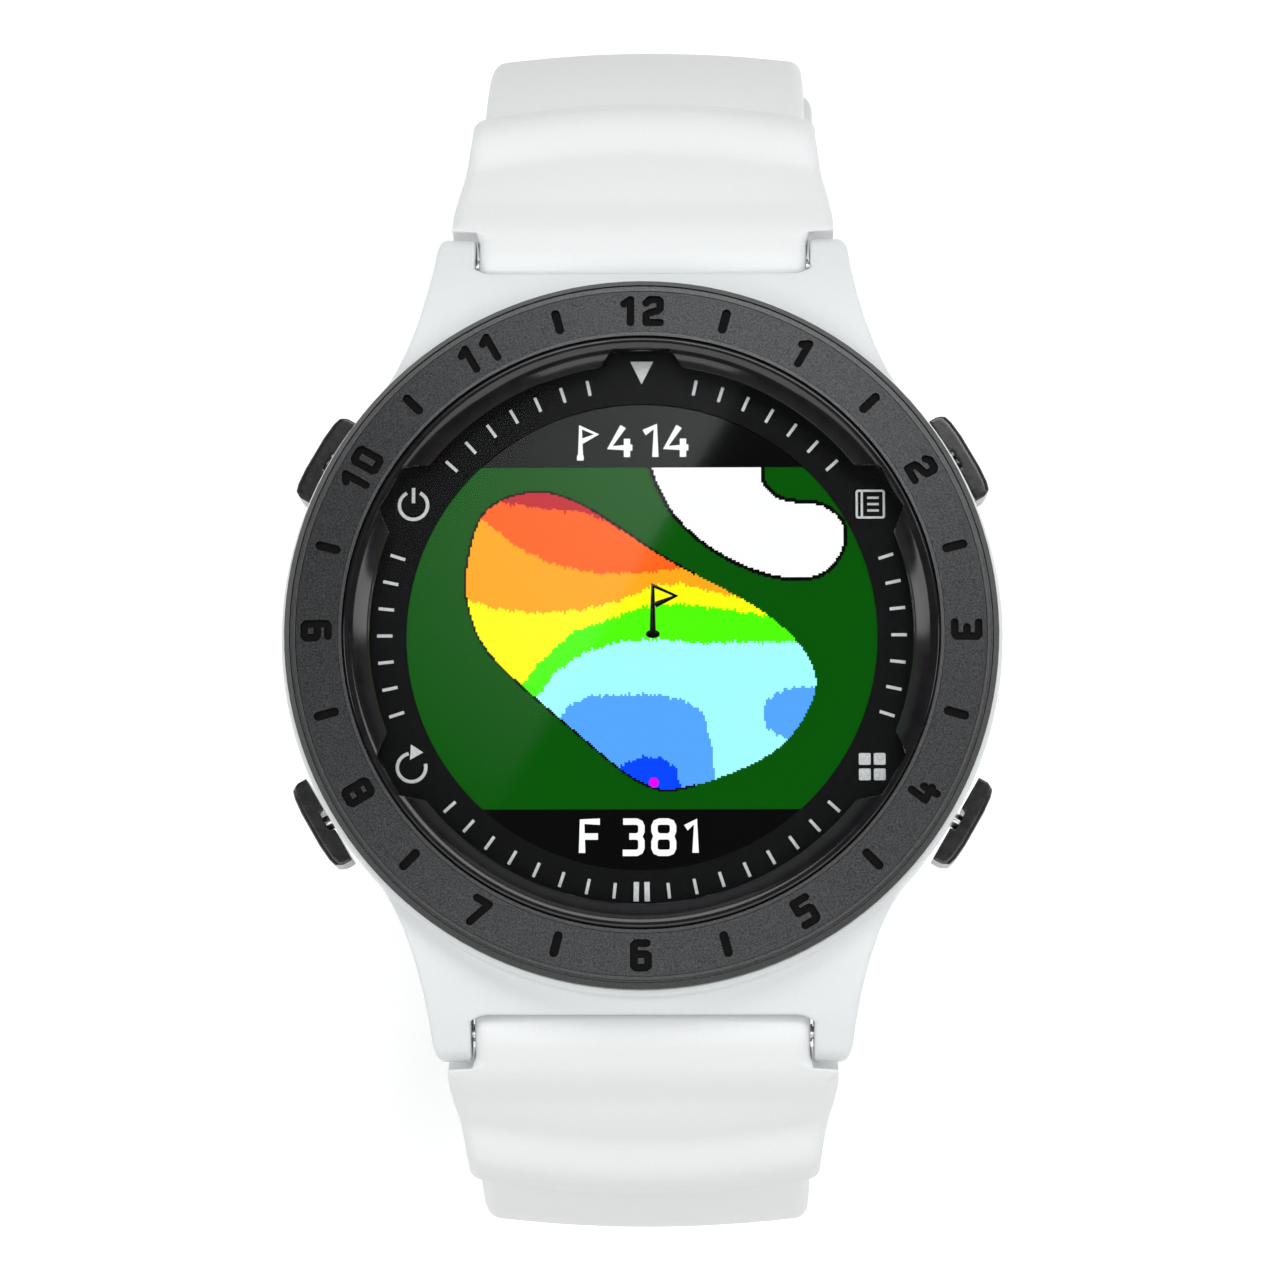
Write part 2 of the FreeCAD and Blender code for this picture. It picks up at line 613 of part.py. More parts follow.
insert_blank = turned("InsertBlank", [
    ("Dims.insert_inner", "Dims.insert_floor"),
    ("Dims.insert_outer", "Dims.insert_floor"),
    ("Dims.insert_outer", "Dims.insert_top_outer"),
    ("Dims.insert_inner", "Dims.insert_top_inner"),
])
numeral_cutters = doc.addObject("Part::Feature", "NumeralCutters")
numeral_cutters.Shape = Part.makeCompound(engraving)
keep(cut("BezelInsert", insert_blank, [numeral_cutters]), "bezel_insert")

# ---------------------------------------------------------------- inner ring

ring_blank = turned("RingBlank", [
    ("Dims.ring_inner", "Dims.lens_top"),
    ("Dims.ring_outer", "Dims.lens_top"),
    ("Dims.ring_outer", "Dims.ring_top"),
    ("Dims.ring_outer - 0.2", "Dims.ring_top"),
    ("Dims.ring_inner", "Dims.ring_lip"),
])


def ring_pocket(label, reach, half_wide, half_narrow, clock_degrees):
    """A scallop in the inner ring that gives a printed symbol room."""
    start = dim("ring_inner") - 1
    rough_wide = half_wide + 0.55
    pocket = extruded("RingPocket" + label, "XY_Plane", [
        ("-%f" % rough_wide, "%f" % start),
        ("-%f" % rough_wide, "Dims.ring_inner + 0.05"),
        ("-%f" % half_wide, "Dims.ring_inner + 0.22"),
        ("-%f" % half_narrow, "%f" % (reach - 0.2)),
        ("-%f" % (half_narrow - 0.35), "%f" % reach),
        ("%f" % (half_narrow - 0.35), "%f" % reach),
        ("%f" % half_narrow, "%f" % (reach - 0.2)),
        ("%f" % half_wide, "Dims.ring_inner + 0.22"),
        ("%f" % rough_wide, "Dims.ring_inner + 0.05"),
        ("%f" % rough_wide, "%f" % start),
    ], "6", "Dims.lens_top - 1")
    return turn_about_watch(pocket, -clock_degrees)


ring_cuts = [ring_pocket("Twelve", 18.4, 2.6, 1.7, 0)]
ring_cuts += [ring_pocket("Icon%d" % at, 18.72, 2.6, 1.3, at) for at in (60, 120, 240, 300)]
keep(cut("InnerRing", ring_blank, ring_cuts), "inner_ring")

# ---------------------------------------------------------------- glass, dial and display

keep(band("Lens", "0", "Dims.lens_radius", "Dims.lens_low", "Dims.lens_top - 0.05"), "lens")
keep(band("DialRing", "Dims.dial_inner", "Dims.lens_radius - 0.05", "Dims.dial_low",
          "Dims.lens_low - 0.05"), "dial_ring")
keep(band("LensGasket", "18.0", "Dims.lens_radius", "9.3", "Dims.dial_low"), "lens_gasket")
keep(band("DisplayPanel", "0", "Dims.panel_radius", "Dims.panel_low", "Dims.panel_top"),
     "display_panel")
frame_plate = band("FramePlate", "13.5", "17.4", "Dims.frame_low", "Dims.panel_low")
frame_legs = [
    cylinder("FrameLeg%d" % angle, "0.9", "Dims.frame_low - Dims.board_top + 0.2",
             polar(15.6, angle, dim("board_top")))
    for angle in (60, 120, 240, 300)
]
keep(join("DisplayFrame", [frame_plate] + frame_legs), "display_frame")

# ---------------------------------------------------------------- board, battery and modules

board_blank = band("BoardBlank", "0", "Dims.board_radius", "Dims.board_low", "Dims.board_top")
board_holes = [
    cylinder("BoardHole%d" % angle, "0.45", "3", polar(dim("board_post_radius"), angle, 4))
    for angle in (0, 90, 180, 270)
]
keep(cut("MainBoard", board_blank, board_holes), "main_board")
board_screws = []
for angle in (0, 90, 180, 270):
    spot = polar(dim("board_post_radius"), angle, dim("board_top"))
    head = cylinder("BoardScrewHead%d" % angle, "0.8", "0.5", spot)
    shank = cylinder("BoardScrewShank%d" % angle, "0.4", "1.8", spot.sub(V(0, 0, 1.7)))
    board_screws.append(join("BoardScrew%d" % angle, [head, shank]))
keep(together("BoardScrews", board_screws), "board_screws")

battery_half = dim("battery_side") / 2
cell = extruded("Battery", "XY_Plane", [
    ("-Dims.battery_side / 2", "-Dims.battery_side / 2"),
    ("Dims.battery_side / 2", "-Dims.battery_side / 2"),
    ("Dims.battery_side / 2", "Dims.battery_side / 2"),
    ("-Dims.battery_side / 2", "Dims.battery_side / 2"),
], "Dims.battery_high - Dims.battery_low", "Dims.battery_low")
add_fillet(cell, 1.2, lambda edge, middle: runs_along(edge, Z_AXIS))
keep(cell, "battery")

antenna = block("GpsAntenna", "10", "9", "1.9", V(-5, 5.2, dim("board_top")))
keep(antenna, "gps_antenna")
shield = block("ProcessorShield", "12", "7.5", "1.5", V(-6, -3.6, dim("board_top")))
keep(shield, "processor_shield")
motor = cylinder("VibrationMotor", "4", "2.1", V(0, -9.4, dim("board_top")))
keep(motor, "vibration_motor")
cable = extruded("DisplayCable", "XZ_Plane", [
    ("8.6", "Dims.board_top"),
    ("12.2", "Dims.board_top"),
    ("12.2", "Dims.panel_low"),
    ("9.2", "Dims.panel_low"),
    ("9.2", "Dims.panel_low - 0.15"),
    ("12.05", "Dims.panel_low - 0.15"),
    ("12.05", "Dims.board_top + 0.15"),
    ("8.6", "Dims.board_top + 0.15"),
], "5", both_ways=True)
keep(cable, "display_cable")

# ---------------------------------------------------------------- buttons


def make_button(label, degrees):
    """Cap, stem, seal, clip, bush and switch of one button, first drawn along +X."""
    cap = extruded("Cap_" + label, "XY_Plane", [
        ("Dims.cap_inner", "-Dims.cap_half_length"),
        ("Dims.cap_outer - 0.75", "-Dims.cap_half_length"),
        ("Dims.cap_outer - 0.25", "-Dims.cap_half_length + 0.25"),
        ("Dims.cap_outer - 0.1", "-Dims.cap_half_length + 0.75"),
        ("Dims.cap_outer", "-1.2"),
        ("Dims.cap_outer", "1.2"),
        ("Dims.cap_outer - 0.1", "Dims.cap_half_length - 0.75"),
        ("Dims.cap_outer - 0.25", "Dims.cap_half_length - 0.25"),
        ("Dims.cap_outer - 0.75", "Dims.cap_half_length"),
        ("Dims.cap_inner", "Dims.cap_half_length"),
        ("Dims.cap_inner", "0.75"),
        ("Dims.cap_inner + 0.35", "0.6"),
        ("Dims.cap_inner + 0.35", "-0.6"),
        ("Dims.cap_inner", "-0.75"),
    ], "2 * Dims.cap_half_height", "Dims.button_z - Dims.cap_half_height")
    outer = dim("cap_outer") - 0.3
    rim = [dim("button_z") - dim("cap_half_height"), dim("button_z") + dim("cap_half_height")]
    add_fillet(cap, 0.3, lambda edge, middle:
               middle.x > outer and min(abs(middle.z - z) for z in rim) < 0.01)
    seat = cylinder("StemSeat_" + label, "Dims.stem_radius", "0.6",
                    V(dim("cap_inner"), 0, dim("button_z")), X_AXIS)
    cap_bored = cut("CapBored_" + label, cap, [seat])
    height = dim("button_z")
    stem = cylinder("Stem_" + label, "Dims.stem_radius",
                    "Dims.cap_inner + 0.6 - Dims.stem_inner", V(dim("stem_inner"), 0, height),
                    X_AXIS)
    seal = doc.addObject("Part::Torus", "Seal_" + label)
    seal.setExpression("Radius1", "Dims.stem_radius + 0.23")
    seal.Radius2 = 0.23
    seal.Placement = FreeCAD.Placement(V(21.7, 0, height), FreeCAD.Rotation(Z_AXIS, X_AXIS))
    clip_disc = cylinder("ClipDisc_" + label, "1.15", "0.22", V(19.12, 0, height), X_AXIS)
    clip_hole = cylinder("ClipHole_" + label, "Dims.stem_radius", "1", V(19, 0, height), X_AXIS)
    clip = cut("Clip_" + label, clip_disc, [clip_hole])
    tube = cylinder("Tube_" + label, "Dims.bush_radius", "2.75", V(19.55, 0, height), X_AXIS)
    bore = cylinder("Bore_" + label, "Dims.stem_radius + 0.04", "4", V(19, 0, height), X_AXIS)
    recess = cylinder("Recess_" + label, "1.0", "3", V(20.4, 0, height), X_AXIS)
    bush = cut("Bush_" + label, tube, [bore, recess])
    base = block("SwitchBody_" + label, "1.5", "3", "2.0", V(16.2, -1.5, dim("board_top")))
    plunger = cylinder("Plunger_" + label, "0.5", "0.35", V(17.6, 0, height), X_AXIS)
    switch = join("Switch_" + label, [base, plunger])
    pieces = [
        (cap_bored, "button_cap"), (stem, "button_stem"), (seal, "button_seal"),
        (clip, "button_clip"), (bush, "button_bush"), (switch, "button_switch"),
    ]
    for solid, kind in pieces:
        turn_about_watch(solid, degrees)
        keep(solid, "%s_%s" % (kind, label))
    doc.recompute()


for button_label, button_angle in BUTTONS:
    make_button(button_label, button_angle)

# ---------------------------------------------------------------- strap


class Bend:
    """Where a strap's middle line runs, as tangent arcs seen from the side."""

    def __init__(self, heading, arcs):
        self.marks = []
        self.centres = []
        y = dim("bar_y")
        z = dim("bar_z")
        angle = heading
        for radius, sweep in arcs:
            centre = (y - radius * math.sin(math.radians(angle)),
                      z - radius * math.cos(math.radians(angle)))
            self.centres.append(centre)
            angle += sweep
            y = centre[0] + radius * math.sin(math.radians(angle))
            z = centre[1] + radius * math.cos(math.radians(angle))
            self.marks.append((y, z, angle))

    def on_arc(self, number, radius, angle):
        """Point at a heading on one arc, at any radius from its centre."""
        y, z = self.centres[number]
        return V(0, y + radius * math.sin(math.radians(angle)),
                 z + radius * math.cos(math.radians(angle)))


def bend_sketch(name, heading, arcs, tail=None):
    """Sketch of tangent arcs, bound to the sheet; arcs are (radius, sweep) aliases."""
    sizes = [(dim(radius), dim(sweep)) for radius, sweep in arcs]
    bend = Bend(dim(heading), sizes)
    sketch = doc.addObject("Sketcher::SketchObject", name)
    sketch.Placement = FreeCAD.Placement(V(0, 0, 0), FreeCAD.Rotation(0.5, 0.5, 0.5, 0.5))
    angle = dim(heading)
    for number, (radius, sweep) in enumerate(sizes):
        centre = V(bend.centres[number][0], bend.centres[number][1], 0)
        first = math.radians(90 - angle - sweep)
        last = math.radians(90 - angle)
        sketch.addGeometry(Part.ArcOfCircle(Part.Circle(centre, Z_AXIS, radius), first, last))
        angle += sweep
    link = Sketcher.Constraint
    bind(sketch, link("DistanceX", -1, 1, 0, 2, 1.0), "Dims.bar_y")
    bind(sketch, link("DistanceY", -1, 1, 0, 2, 1.0), "Dims.bar_z")
    bind(sketch, link("DistanceX", -1, 1, 0, 3, 1.0),
         "Dims.bar_y - Dims.%s * sin(Dims.%s)" % (arcs[0][0], heading))
    for number, (radius, sweep) in enumerate(arcs):
        bind(sketch, link("Radius", number, sizes[number][0]), "Dims." + radius)
        bind(sketch, link("Angle", number, math.radians(sizes[number][1])),
             "Dims.%s * 1 deg" % sweep)
        if number:
            sketch.addConstraint(link("Tangent", number - 1, 1, number, 2))
    if tail:
        y, z, _ = bend.marks[-1]
        sketch.addGeometry(Part.LineSegment(V(y, z, 0), V(y - dim(tail), z, 0)), False)
        count = len(arcs)
        sketch.addConstraint(link("Tangent", count - 1, 1, count, 1))
        bind(sketch, link("Distance", count, dim(tail)), "Dims." + tail)
    doc.recompute()
    return sketch, bend


def thicken(name, sketch, thickness, half_width):
    """A slab of even thickness about a bend, with rounded ends."""
    outline = doc.addObject("Part::Offset2D", name + "_outline")
    outline.Source = sketch
    outline.setExpression("Value", "Dims.%s / 2" % thickness)
    outline.Mode = "Pipe"
    outline.Join = "Arc"
    outline.Fill = True
    slab = doc.addObject("Part::Extrusion", name)
    slab.Base = outline
    slab.DirMode = "Custom"
    slab.Dir = X_AXIS
    slab.setExpression("LengthFwd", "2 * Dims.%s" % half_width)
    slab.Symmetric = True
    slab.Solid = True
    doc.recompute()
    return slab


def strap_root(name, sketch):
    """Thick part of a strap next to the case: tongue between the lugs, wings behind them."""
    slab = thicken(name + "Slab", sketch, "root_thickness", "wing_half_width")
    plan = extruded(name + "Plan", "XY_Plane", [
        ("-Dims.wing_half_width", "20"),
        ("-Dims.wing_half_width", "29.2"),
        ("-Dims.wing_half_width + 0.45", "31"),
        ("-Dims.wing_end_half_width - 0.2", "33.5"),
        ("-Dims.wing_end_half_width", "36.5"),
        ("-Dims.wing_end_half_width", "44"),
        ("Dims.wing_end_half_width", "44"),
        ("Dims.wing_end_half_width", "36.5"),
        ("Dims.wing_end_half_width + 0.2", "33.5"),
        ("Dims.wing_half_width - 0.45", "31"),
        ("Dims.wing_half_width", "29.2"),
        ("Dims.wing_half_width", "20"),
    ], "60", both_ways=True)
    shaped = overlap(name + "Shaped", [slab, plan])
    sides = []
    for side, left in (("Left", -14.0), ("Right", dim("tongue_half_width"))):
        start = V(left, dim("bar_y"), dim("bar_z"))
        length = "14 - Dims.tongue_half_width"
        sides.append(cylinder(name + "Clear" + side, "Dims.lug_tip_radius + 0.8", length,
                              start, X_AXIS))
        sides.append(block(name + "Inside" + side, length, "8", "24",
                           V(left, dim("bar_y") - 8, -12)))
    return cut(name, shaped, sides)


def bar_bore(name):
    start = V(-16, dim("bar_y"), dim("bar_z"))
    return cylinder(name, "0.95", "32", start, X_AXIS)


# upper strap: short half with the buckle
upper_root_line, _ = bend_sketch("UpperRootLine", "upper_heading",
                                 [("upper_bend_one", "upper_root_sweep")])
upper_line, upper_bend = bend_sketch(
    "UpperLine", "upper_heading",
    [("upper_bend_one", "upper_sweep_one"), ("upper_bend_two", "upper_sweep_two")])
upper_band = thicken("UpperBand", upper_line, "band_thickness", "strap_half_width")
upper_band_cut = cut("UpperBandTrim", upper_band,
                     [block("UpperTrim", "30", "4", "24", V(-15, dim("bar_y") - 3, -7))])
end_y, end_z, end_angle = upper_bend.marks[-1]
buckle_point = V(0, end_y, end_z)
tang_slot = block("TangSlot", "3", "7", "9", V(-1.5, -3.6, -4.5))
tang_slot.Placement = FreeCAD.Placement(buckle_point, FreeCAD.Rotation(X_AXIS, -end_angle)) \
    .multiply(FreeCAD.Placement(V(-1.5, -3.6, -4.5), FreeCAD.Rotation()))
buckle_bore = cylinder("BuckleBore", "Dims.buckle_bar_radius", "40",
                       buckle_point.sub(V(20, 0, 0)), X_AXIS)
upper_solid = join("UpperSolid", [strap_root("UpperRoot", upper_root_line), upper_band_cut])
upper_strap = cut("StrapUpper", upper_solid, [bar_bore("UpperBarBore"), tang_slot, buckle_bore])

# lower strap: long half with the row of holes
lower_root_line, _ = bend_sketch("LowerRootLine", "lower_heading",
                                 [("lower_bend_one", "lower_root_sweep")])
lower_line, lower_bend = bend_sketch(
    "LowerLine", "lower_heading",
    [("lower_bend_one", "lower_sweep_one"), ("lower_bend_two", "lower_sweep_two")],
    "lower_tail")
lower_band = thicken("LowerBand", lower_line, "band_thickness", "strap_half_width")
lower_band_cut = cut("LowerBandTrim", lower_band,
                     [block("LowerTrim", "30", "4", "24", V(-15, dim("bar_y") - 3, -7))])
holes = [bar_bore("LowerBarBore")]
for number in range(6):
    heading = 103 + number * 13
    spot = lower_bend.on_arc(1, dim("lower_bend_two") - 4, heading)
    outward = V(0, math.sin(math.radians(heading)), math.cos(math.radians(heading)))
    holes.append(cylinder("SizeHole%d" % number, "1.25", "8", spot, outward))
tail_y, tail_z, _ = lower_bend.marks[-1]
for number in range(2):
    spot = V(0, tail_y - 1.0 - number * 6.1, tail_z - 4)
    holes.append(cylinder("TailHole%d" % number, "1.25", "8", spot))
tip_start = tail_y - dim("lower_tail") / 2
tip_block = block("TipBlock", "24", "20", "8", V(-12, tip_start - 20, tail_z - 4))
tip_round = cylinder("TipRound", "12", "10", V(0, tail_y - dim("lower_tail") + 10.5, tail_z - 5))
holes.append(cut("TipCorners", tip_block, [tip_round]))
lower_solid = join("LowerSolid", [strap_root("LowerRoot", lower_root_line), lower_band_cut])
lower_strap = cut("StrapLower", lower_solid, holes)
turn_about_watch(lower_strap, 180)


def spring_bar(side, degrees):
    """Telescopic pin: tube, two sprung tips and the coil that pushes them apart."""
    y = dim("bar_y")
    z = dim("bar_z")
    tube_half = dim("lug_gap_half") - 0.3
    shell = cylinder("BarShell" + side, "0.9", "%f" % (2 * tube_half), V(-tube_half, y, z), X_AXIS)
    hollow_bar = cylinder("BarHollow" + side, "0.6", "40", V(-20, y, z), X_AXIS)
    tube = cut("BarTube" + side, shell, [hollow_bar])
    tips = []
    for name, end, way in (("Left", -1, V(-1, 0, 0)), ("Right", 1, X_AXIS)):
        plug = cylinder("TipPlug" + side + name, "0.58", "3.2",
                        V(end * (tube_half - 3.0), y, z), way)
        point = cylinder("TipPoint" + side + name, "0.42", "4.2",
                         V(end * (tube_half - 3.0), y, z), way)
        tips.append(join("Tip" + side + name, [plug, point]))
    helix = Part.makeHelix(0.62, 2 * (tube_half - 3.35), 0.42)
    profile = Part.Wire([Part.makeCircle(0.1, V(0.42, 0, 0), Y_AXIS)])
    wire = Part.Wire(helix.Edges).makePipeShell([profile], True, True)
    coil = doc.addObject("Part::Feature", "BarCoil" + side)
    coil.Shape = wire
    coil.Placement = FreeCAD.Placement(V(-tube_half + 3.35, y, z),
                                       FreeCAD.Rotation(Z_AXIS, X_AXIS))
    pieces = [(tube, "spring_bar_"), (together("Tips" + side, tips), "spring_bar_tips_"),
              (coil, "spring_bar_coil_")]
    for solid, label in pieces:
        turn_about_watch(solid, degrees)
        keep(solid, label + side.lower())
    doc.recompute()


keep(upper_strap, "strap_upper")
keep(lower_strap, "strap_lower")
spring_bar("Upper", 0)
spring_bar("Lower", 180)

# ---------------------------------------------------------------- buckle

# Drawn with the bar on the X axis and the frame along +Y, then set at the strap's end.
at_buckle = FreeCAD.Placement(buckle_point, FreeCAD.Rotation(X_AXIS, -end_angle))

frame_blank = extruded("BuckleBlank", "XY_Plane", [
    ("-Dims.buckle_outer_half", "-1.4"),
    ("-Dims.buckle_outer_half", "Dims.buckle_length - 1.2"),
    ("-Dims.buckle_outer_half + 1.2", "Dims.buckle_length"),
    ("Dims.buckle_outer_half - 1.2", "Dims.buckle_length"),
    ("Dims.buckle_outer_half", "Dims.buckle_length - 1.2"),
    ("Dims.buckle_outer_half", "-1.4"),
    ("Dims.buckle_inner_half", "-1.4"),
    ("Dims.buckle_inner_half", "Dims.buckle_length - 2.2"),
    ("-Dims.buckle_inner_half", "Dims.buckle_length - 2.2"),
    ("-Dims.buckle_inner_half", "-1.4"),
], "Dims.buckle_wire", "-Dims.buckle_wire / 2")
add_fillet(frame_blank, 0.35, lambda edge, middle: abs(abs(middle.z) - 0.95) < 0.01
           and (abs(middle.x) > 12.2 or middle.y > 9.1))
frame_bore = cylinder("FrameBore", "Dims.buckle_bar_radius + 0.05", "40", V(-20, 0, 0), X_AXIS)
rest_groove = cylinder("RestGroove", "1.0", "4", V(0, 5.9, 1.25), Y_AXIS)
buckle_frame = cut("BuckleFrame", frame_blank, [frame_bore, rest_groove])
buckle_bar = cylinder("BuckleBar", "Dims.buckle_bar_radius", "2 * Dims.buckle_outer_half",
                      V(-dim("buckle_outer_half"), 0, 0), X_AXIS)
eye = cylinder("TangEye", "1.35", "2.4", V(-1.2, 0, 0), X_AXIS)
prong = cylinder("TangProng", "0.75", "Dims.buckle_length + 0.2", V(0, 0, 1.3), Y_AXIS)
foot = block("TangFoot", "1.5", "2.0", "1.5", V(-0.75, 0, 0.5))
eye_bore = cylinder("EyeBore", "Dims.buckle_bar_radius + 0.05", "4", V(-2, 0, 0), X_AXIS)
buckle_tang = cut("BuckleTang", join("TangSolid", [eye, prong, foot]), [eye_bore])
for solid, label in ((buckle_frame, "buckle_frame"), (buckle_bar, "buckle_bar"),
                     (buckle_tang, "buckle_tang")):
    solid.Placement = at_buckle.multiply(solid.Placement)
    keep(solid, label)

# ---------------------------------------------------------------- keepers


def keeper(name, label, middle_heading, play):
    """A loop round the upper strap that follows the strap's second bend."""
    radius = dim("upper_bend_two")
    half = dim("band_thickness") / 2
    roof = radius + half + dim("keeper_room")
    sweep = dim("keeper_sweep")
    wide = dim("strap_half_width") + play
    centre_y, centre_z = upper_bend.centres[1]
    first = middle_heading - sweep / 2

    def sector(part, size, half_width):
        solid = doc.addObject("Part::Cylinder", name + part)
        solid.Radius = size
        solid.Height = 2 * half_width
        solid.Angle = sweep
        # the sector opens about X, from the heading of its first edge
        stand = FreeCAD.Rotation(V(0, 1, 0), 90)
        spin = FreeCAD.Rotation(X_AXIS, 90 - first - sweep)
        base = V(-half_width, centre_y, centre_z)
        to_y = FreeCAD.Rotation(X_AXIS, 90)
        solid.Placement = FreeCAD.Placement(base, spin.multiply(to_y).multiply(stand))
        return solid

    outer = sector("Outer", roof + dim("keeper_wall"), wide + dim("keeper_wall"))
    inner = sector("Inner", radius - half - play - dim("keeper_wall"), wide + dim("keeper_wall"))
    room = cylinder(name + "Room", "%f" % roof, "%f" % (2 * wide),
                    V(-wide, centre_y, centre_z), X_AXIS)
    core = cylinder(name + "Core", "%f" % (radius - half - play), "%f" % (2 * wide),
                    V(-wide, centre_y, centre_z), X_AXIS)
    shell = cut(name + "Shell", outer, [inner])
    window = cut(name + "Window", room, [core])
    keep(cut(name, shell, [window]), label)


keeper("KeeperFixed", "keeper_fixed", 146, 0.0)
keeper("KeeperFree", "keeper_free", 129, dim("keeper_gap"))

# ---------------------------------------------------------------- checks and export

doc.recompute()
for item in doc.Objects:
    if "Invalid" in item.State or "Error" in item.State:
        raise RuntimeError("%s is %s" % (item.Name, item.State))
for item in nodes:
    shape = item.Shape
    if shape.isNull() or not shape.isValid() or not shape.Solids:
        raise RuntimeError("%s has no sound solid" % item.Label)
    shape.exportStep("parts/%s.step" % item.Label)
    box = shape.BoundBox
    print("%-26s %2d solids %9.2f mm3  x %.2f..%.2f y %.2f..%.2f z %.2f..%.2f" % (
        item.Label, len(shape.Solids), shape.Volume, box.XMin, box.XMax,
        box.YMin, box.YMax, box.ZMin, box.ZMax))
print("%d parts" % len(nodes))
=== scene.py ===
import math

import bmesh
import bpy
import numpy as np
from mathutils import Matrix, Vector


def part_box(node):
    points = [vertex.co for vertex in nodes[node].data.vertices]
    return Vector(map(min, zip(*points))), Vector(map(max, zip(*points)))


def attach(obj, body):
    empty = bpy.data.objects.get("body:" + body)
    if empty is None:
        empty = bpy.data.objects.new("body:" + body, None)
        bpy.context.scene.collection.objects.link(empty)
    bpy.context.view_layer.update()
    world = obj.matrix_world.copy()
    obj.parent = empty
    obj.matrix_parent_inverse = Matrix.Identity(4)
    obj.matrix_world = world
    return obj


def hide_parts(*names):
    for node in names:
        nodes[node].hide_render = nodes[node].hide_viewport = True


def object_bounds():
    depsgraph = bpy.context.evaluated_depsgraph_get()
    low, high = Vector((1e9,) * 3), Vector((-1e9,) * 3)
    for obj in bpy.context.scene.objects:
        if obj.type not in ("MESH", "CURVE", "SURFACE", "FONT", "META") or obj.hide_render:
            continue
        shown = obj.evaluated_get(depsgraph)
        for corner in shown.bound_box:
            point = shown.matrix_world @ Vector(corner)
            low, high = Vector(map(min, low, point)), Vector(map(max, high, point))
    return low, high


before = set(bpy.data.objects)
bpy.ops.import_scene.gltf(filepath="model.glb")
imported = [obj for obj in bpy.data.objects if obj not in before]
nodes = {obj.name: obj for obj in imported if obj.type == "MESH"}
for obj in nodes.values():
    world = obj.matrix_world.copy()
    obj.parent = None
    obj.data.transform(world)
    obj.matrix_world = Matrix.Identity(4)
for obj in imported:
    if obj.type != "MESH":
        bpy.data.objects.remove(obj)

CAD_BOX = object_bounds()
MM = 0.001
scene = bpy.context.scene


def top_of(node):
    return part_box(node)[1][2] / MM


# ---------------------------------------------------------------- materials

def new_material(name, color, roughness, metallic=0.0, specular=0.5):
    mat = bpy.data.materials.new(name)
    mat.use_nodes = True
    shader = mat.node_tree.nodes["Principled BSDF"]
    shader.inputs["Base Color"].default_value = (*color, 1.0)
    shader.inputs["Roughness"].default_value = roughness
    shader.inputs["Metallic"].default_value = metallic
    shader.inputs["Specular IOR Level"].default_value = specular
    return mat, shader


def add_node(mat, kind, **inputs):
    node = mat.node_tree.nodes.new(kind)
    for key, value in inputs.items():
        node.inputs[key.replace("_", " ")].default_value = value
    return node


def link(mat, source, output, target, socket):
    mat.node_tree.links.new(source.outputs[output], target.inputs[socket])


def noise(mat, size_mm, detail=3.0, stretch=None):
    """Noise in object space, whose grains are about size_mm across."""
    coords = add_node(mat, "ShaderNodeTexCoord")
    tex = add_node(mat, "ShaderNodeTexNoise", Scale=1.0 / (size_mm * MM), Detail=detail)
    if stretch:
        mapping = add_node(mat, "ShaderNodeMapping")
        mapping.inputs["Scale"].default_value = stretch
        link(mat, coords, "Object", mapping, "Vector")
        link(mat, mapping, "Vector", tex, "Vector")
    else:
        link(mat, coords, "Object", tex, "Vector")
    return tex


def ramp_color(mat, tex, shader, low, high, start=0.35, end=0.65, socket="Base Color"):
    ramp = add_node(mat, "ShaderNodeValToRGB")
    ramp.color_ramp.elements[0].position = start
    ramp.color_ramp.elements[0].color = (*low, 1)
    ramp.color_ramp.elements[1].position = end
    ramp.color_ramp.elements[1].color = (*high, 1)
    link(mat, tex, "Fac", ramp, "Fac")
    link(mat, ramp, "Color", shader, socket)


def vary_roughness(mat, tex, shader, low, high):
    spread = add_node(mat, "ShaderNodeMapRange")
    spread.inputs["To Min"].default_value = low
    spread.inputs["To Max"].default_value = high
    link(mat, tex, "Fac", spread, "Value")
    link(mat, spread, "Result", shader, "Roughness")


def bump(mat, tex, shader, depth_mm, strength=1.0):
    node = add_node(mat, "ShaderNodeBump", Strength=strength, Distance=depth_mm * MM)
    link(mat, tex, "Fac", node, "Height")
    link(mat, node, "Normal", shader, "Normal")


def grained(name, low, high, roughness, spread, grain_mm, depth_mm, metallic=0.0,
            specular=0.5, stretch=None, detail=3.0):
    """Material whose colour, roughness and relief all vary with a fine grain."""
    mat, shader = new_material(name, low, roughness, metallic, specular)
    tex = noise(mat, grain_mm, detail, stretch)
    ramp_color(mat, tex, shader, low, high)
    vary_roughness(mat, tex, shader, roughness - spread, roughness + spread)
    bump(mat, tex, shader, depth_mm)
    return mat


WHITE_PLASTIC = grained("white_plastic", (0.72, 0.75, 0.755), (0.74, 0.765, 0.77),
                        0.42, 0.05, 0.25, 0.004, specular=0.45)
SILICONE = grained("white_silicone", (0.765, 0.785, 0.785), (0.785, 0.80, 0.80),
                   0.60, 0.06, 0.18, 0.006, specular=0.35)
BEZEL_METAL = grained("bezel_metal", (0.05, 0.051, 0.052), (0.08, 0.081, 0.083),
                      0.34, 0.06, 0.12, 0.004, metallic=0.85)
INSERT_METAL = grained("insert_sandblasted", (0.020, 0.021, 0.022), (0.056, 0.058, 0.060),
                       0.40, 0.08, 0.10, 0.012, metallic=0.85, detail=5.0)
# Near-black for the insert's engraved grooves: painted shade standing in for the shadow that falls inside
# them.
GROOVE_PAINTED_SHADE = grained("insert_groove_painted_shade", (0.002, 0.002, 0.002), (0.004, 0.004, 0.004), 0.6,
                       0.05, 0.2, 0.003, specular=0.08)
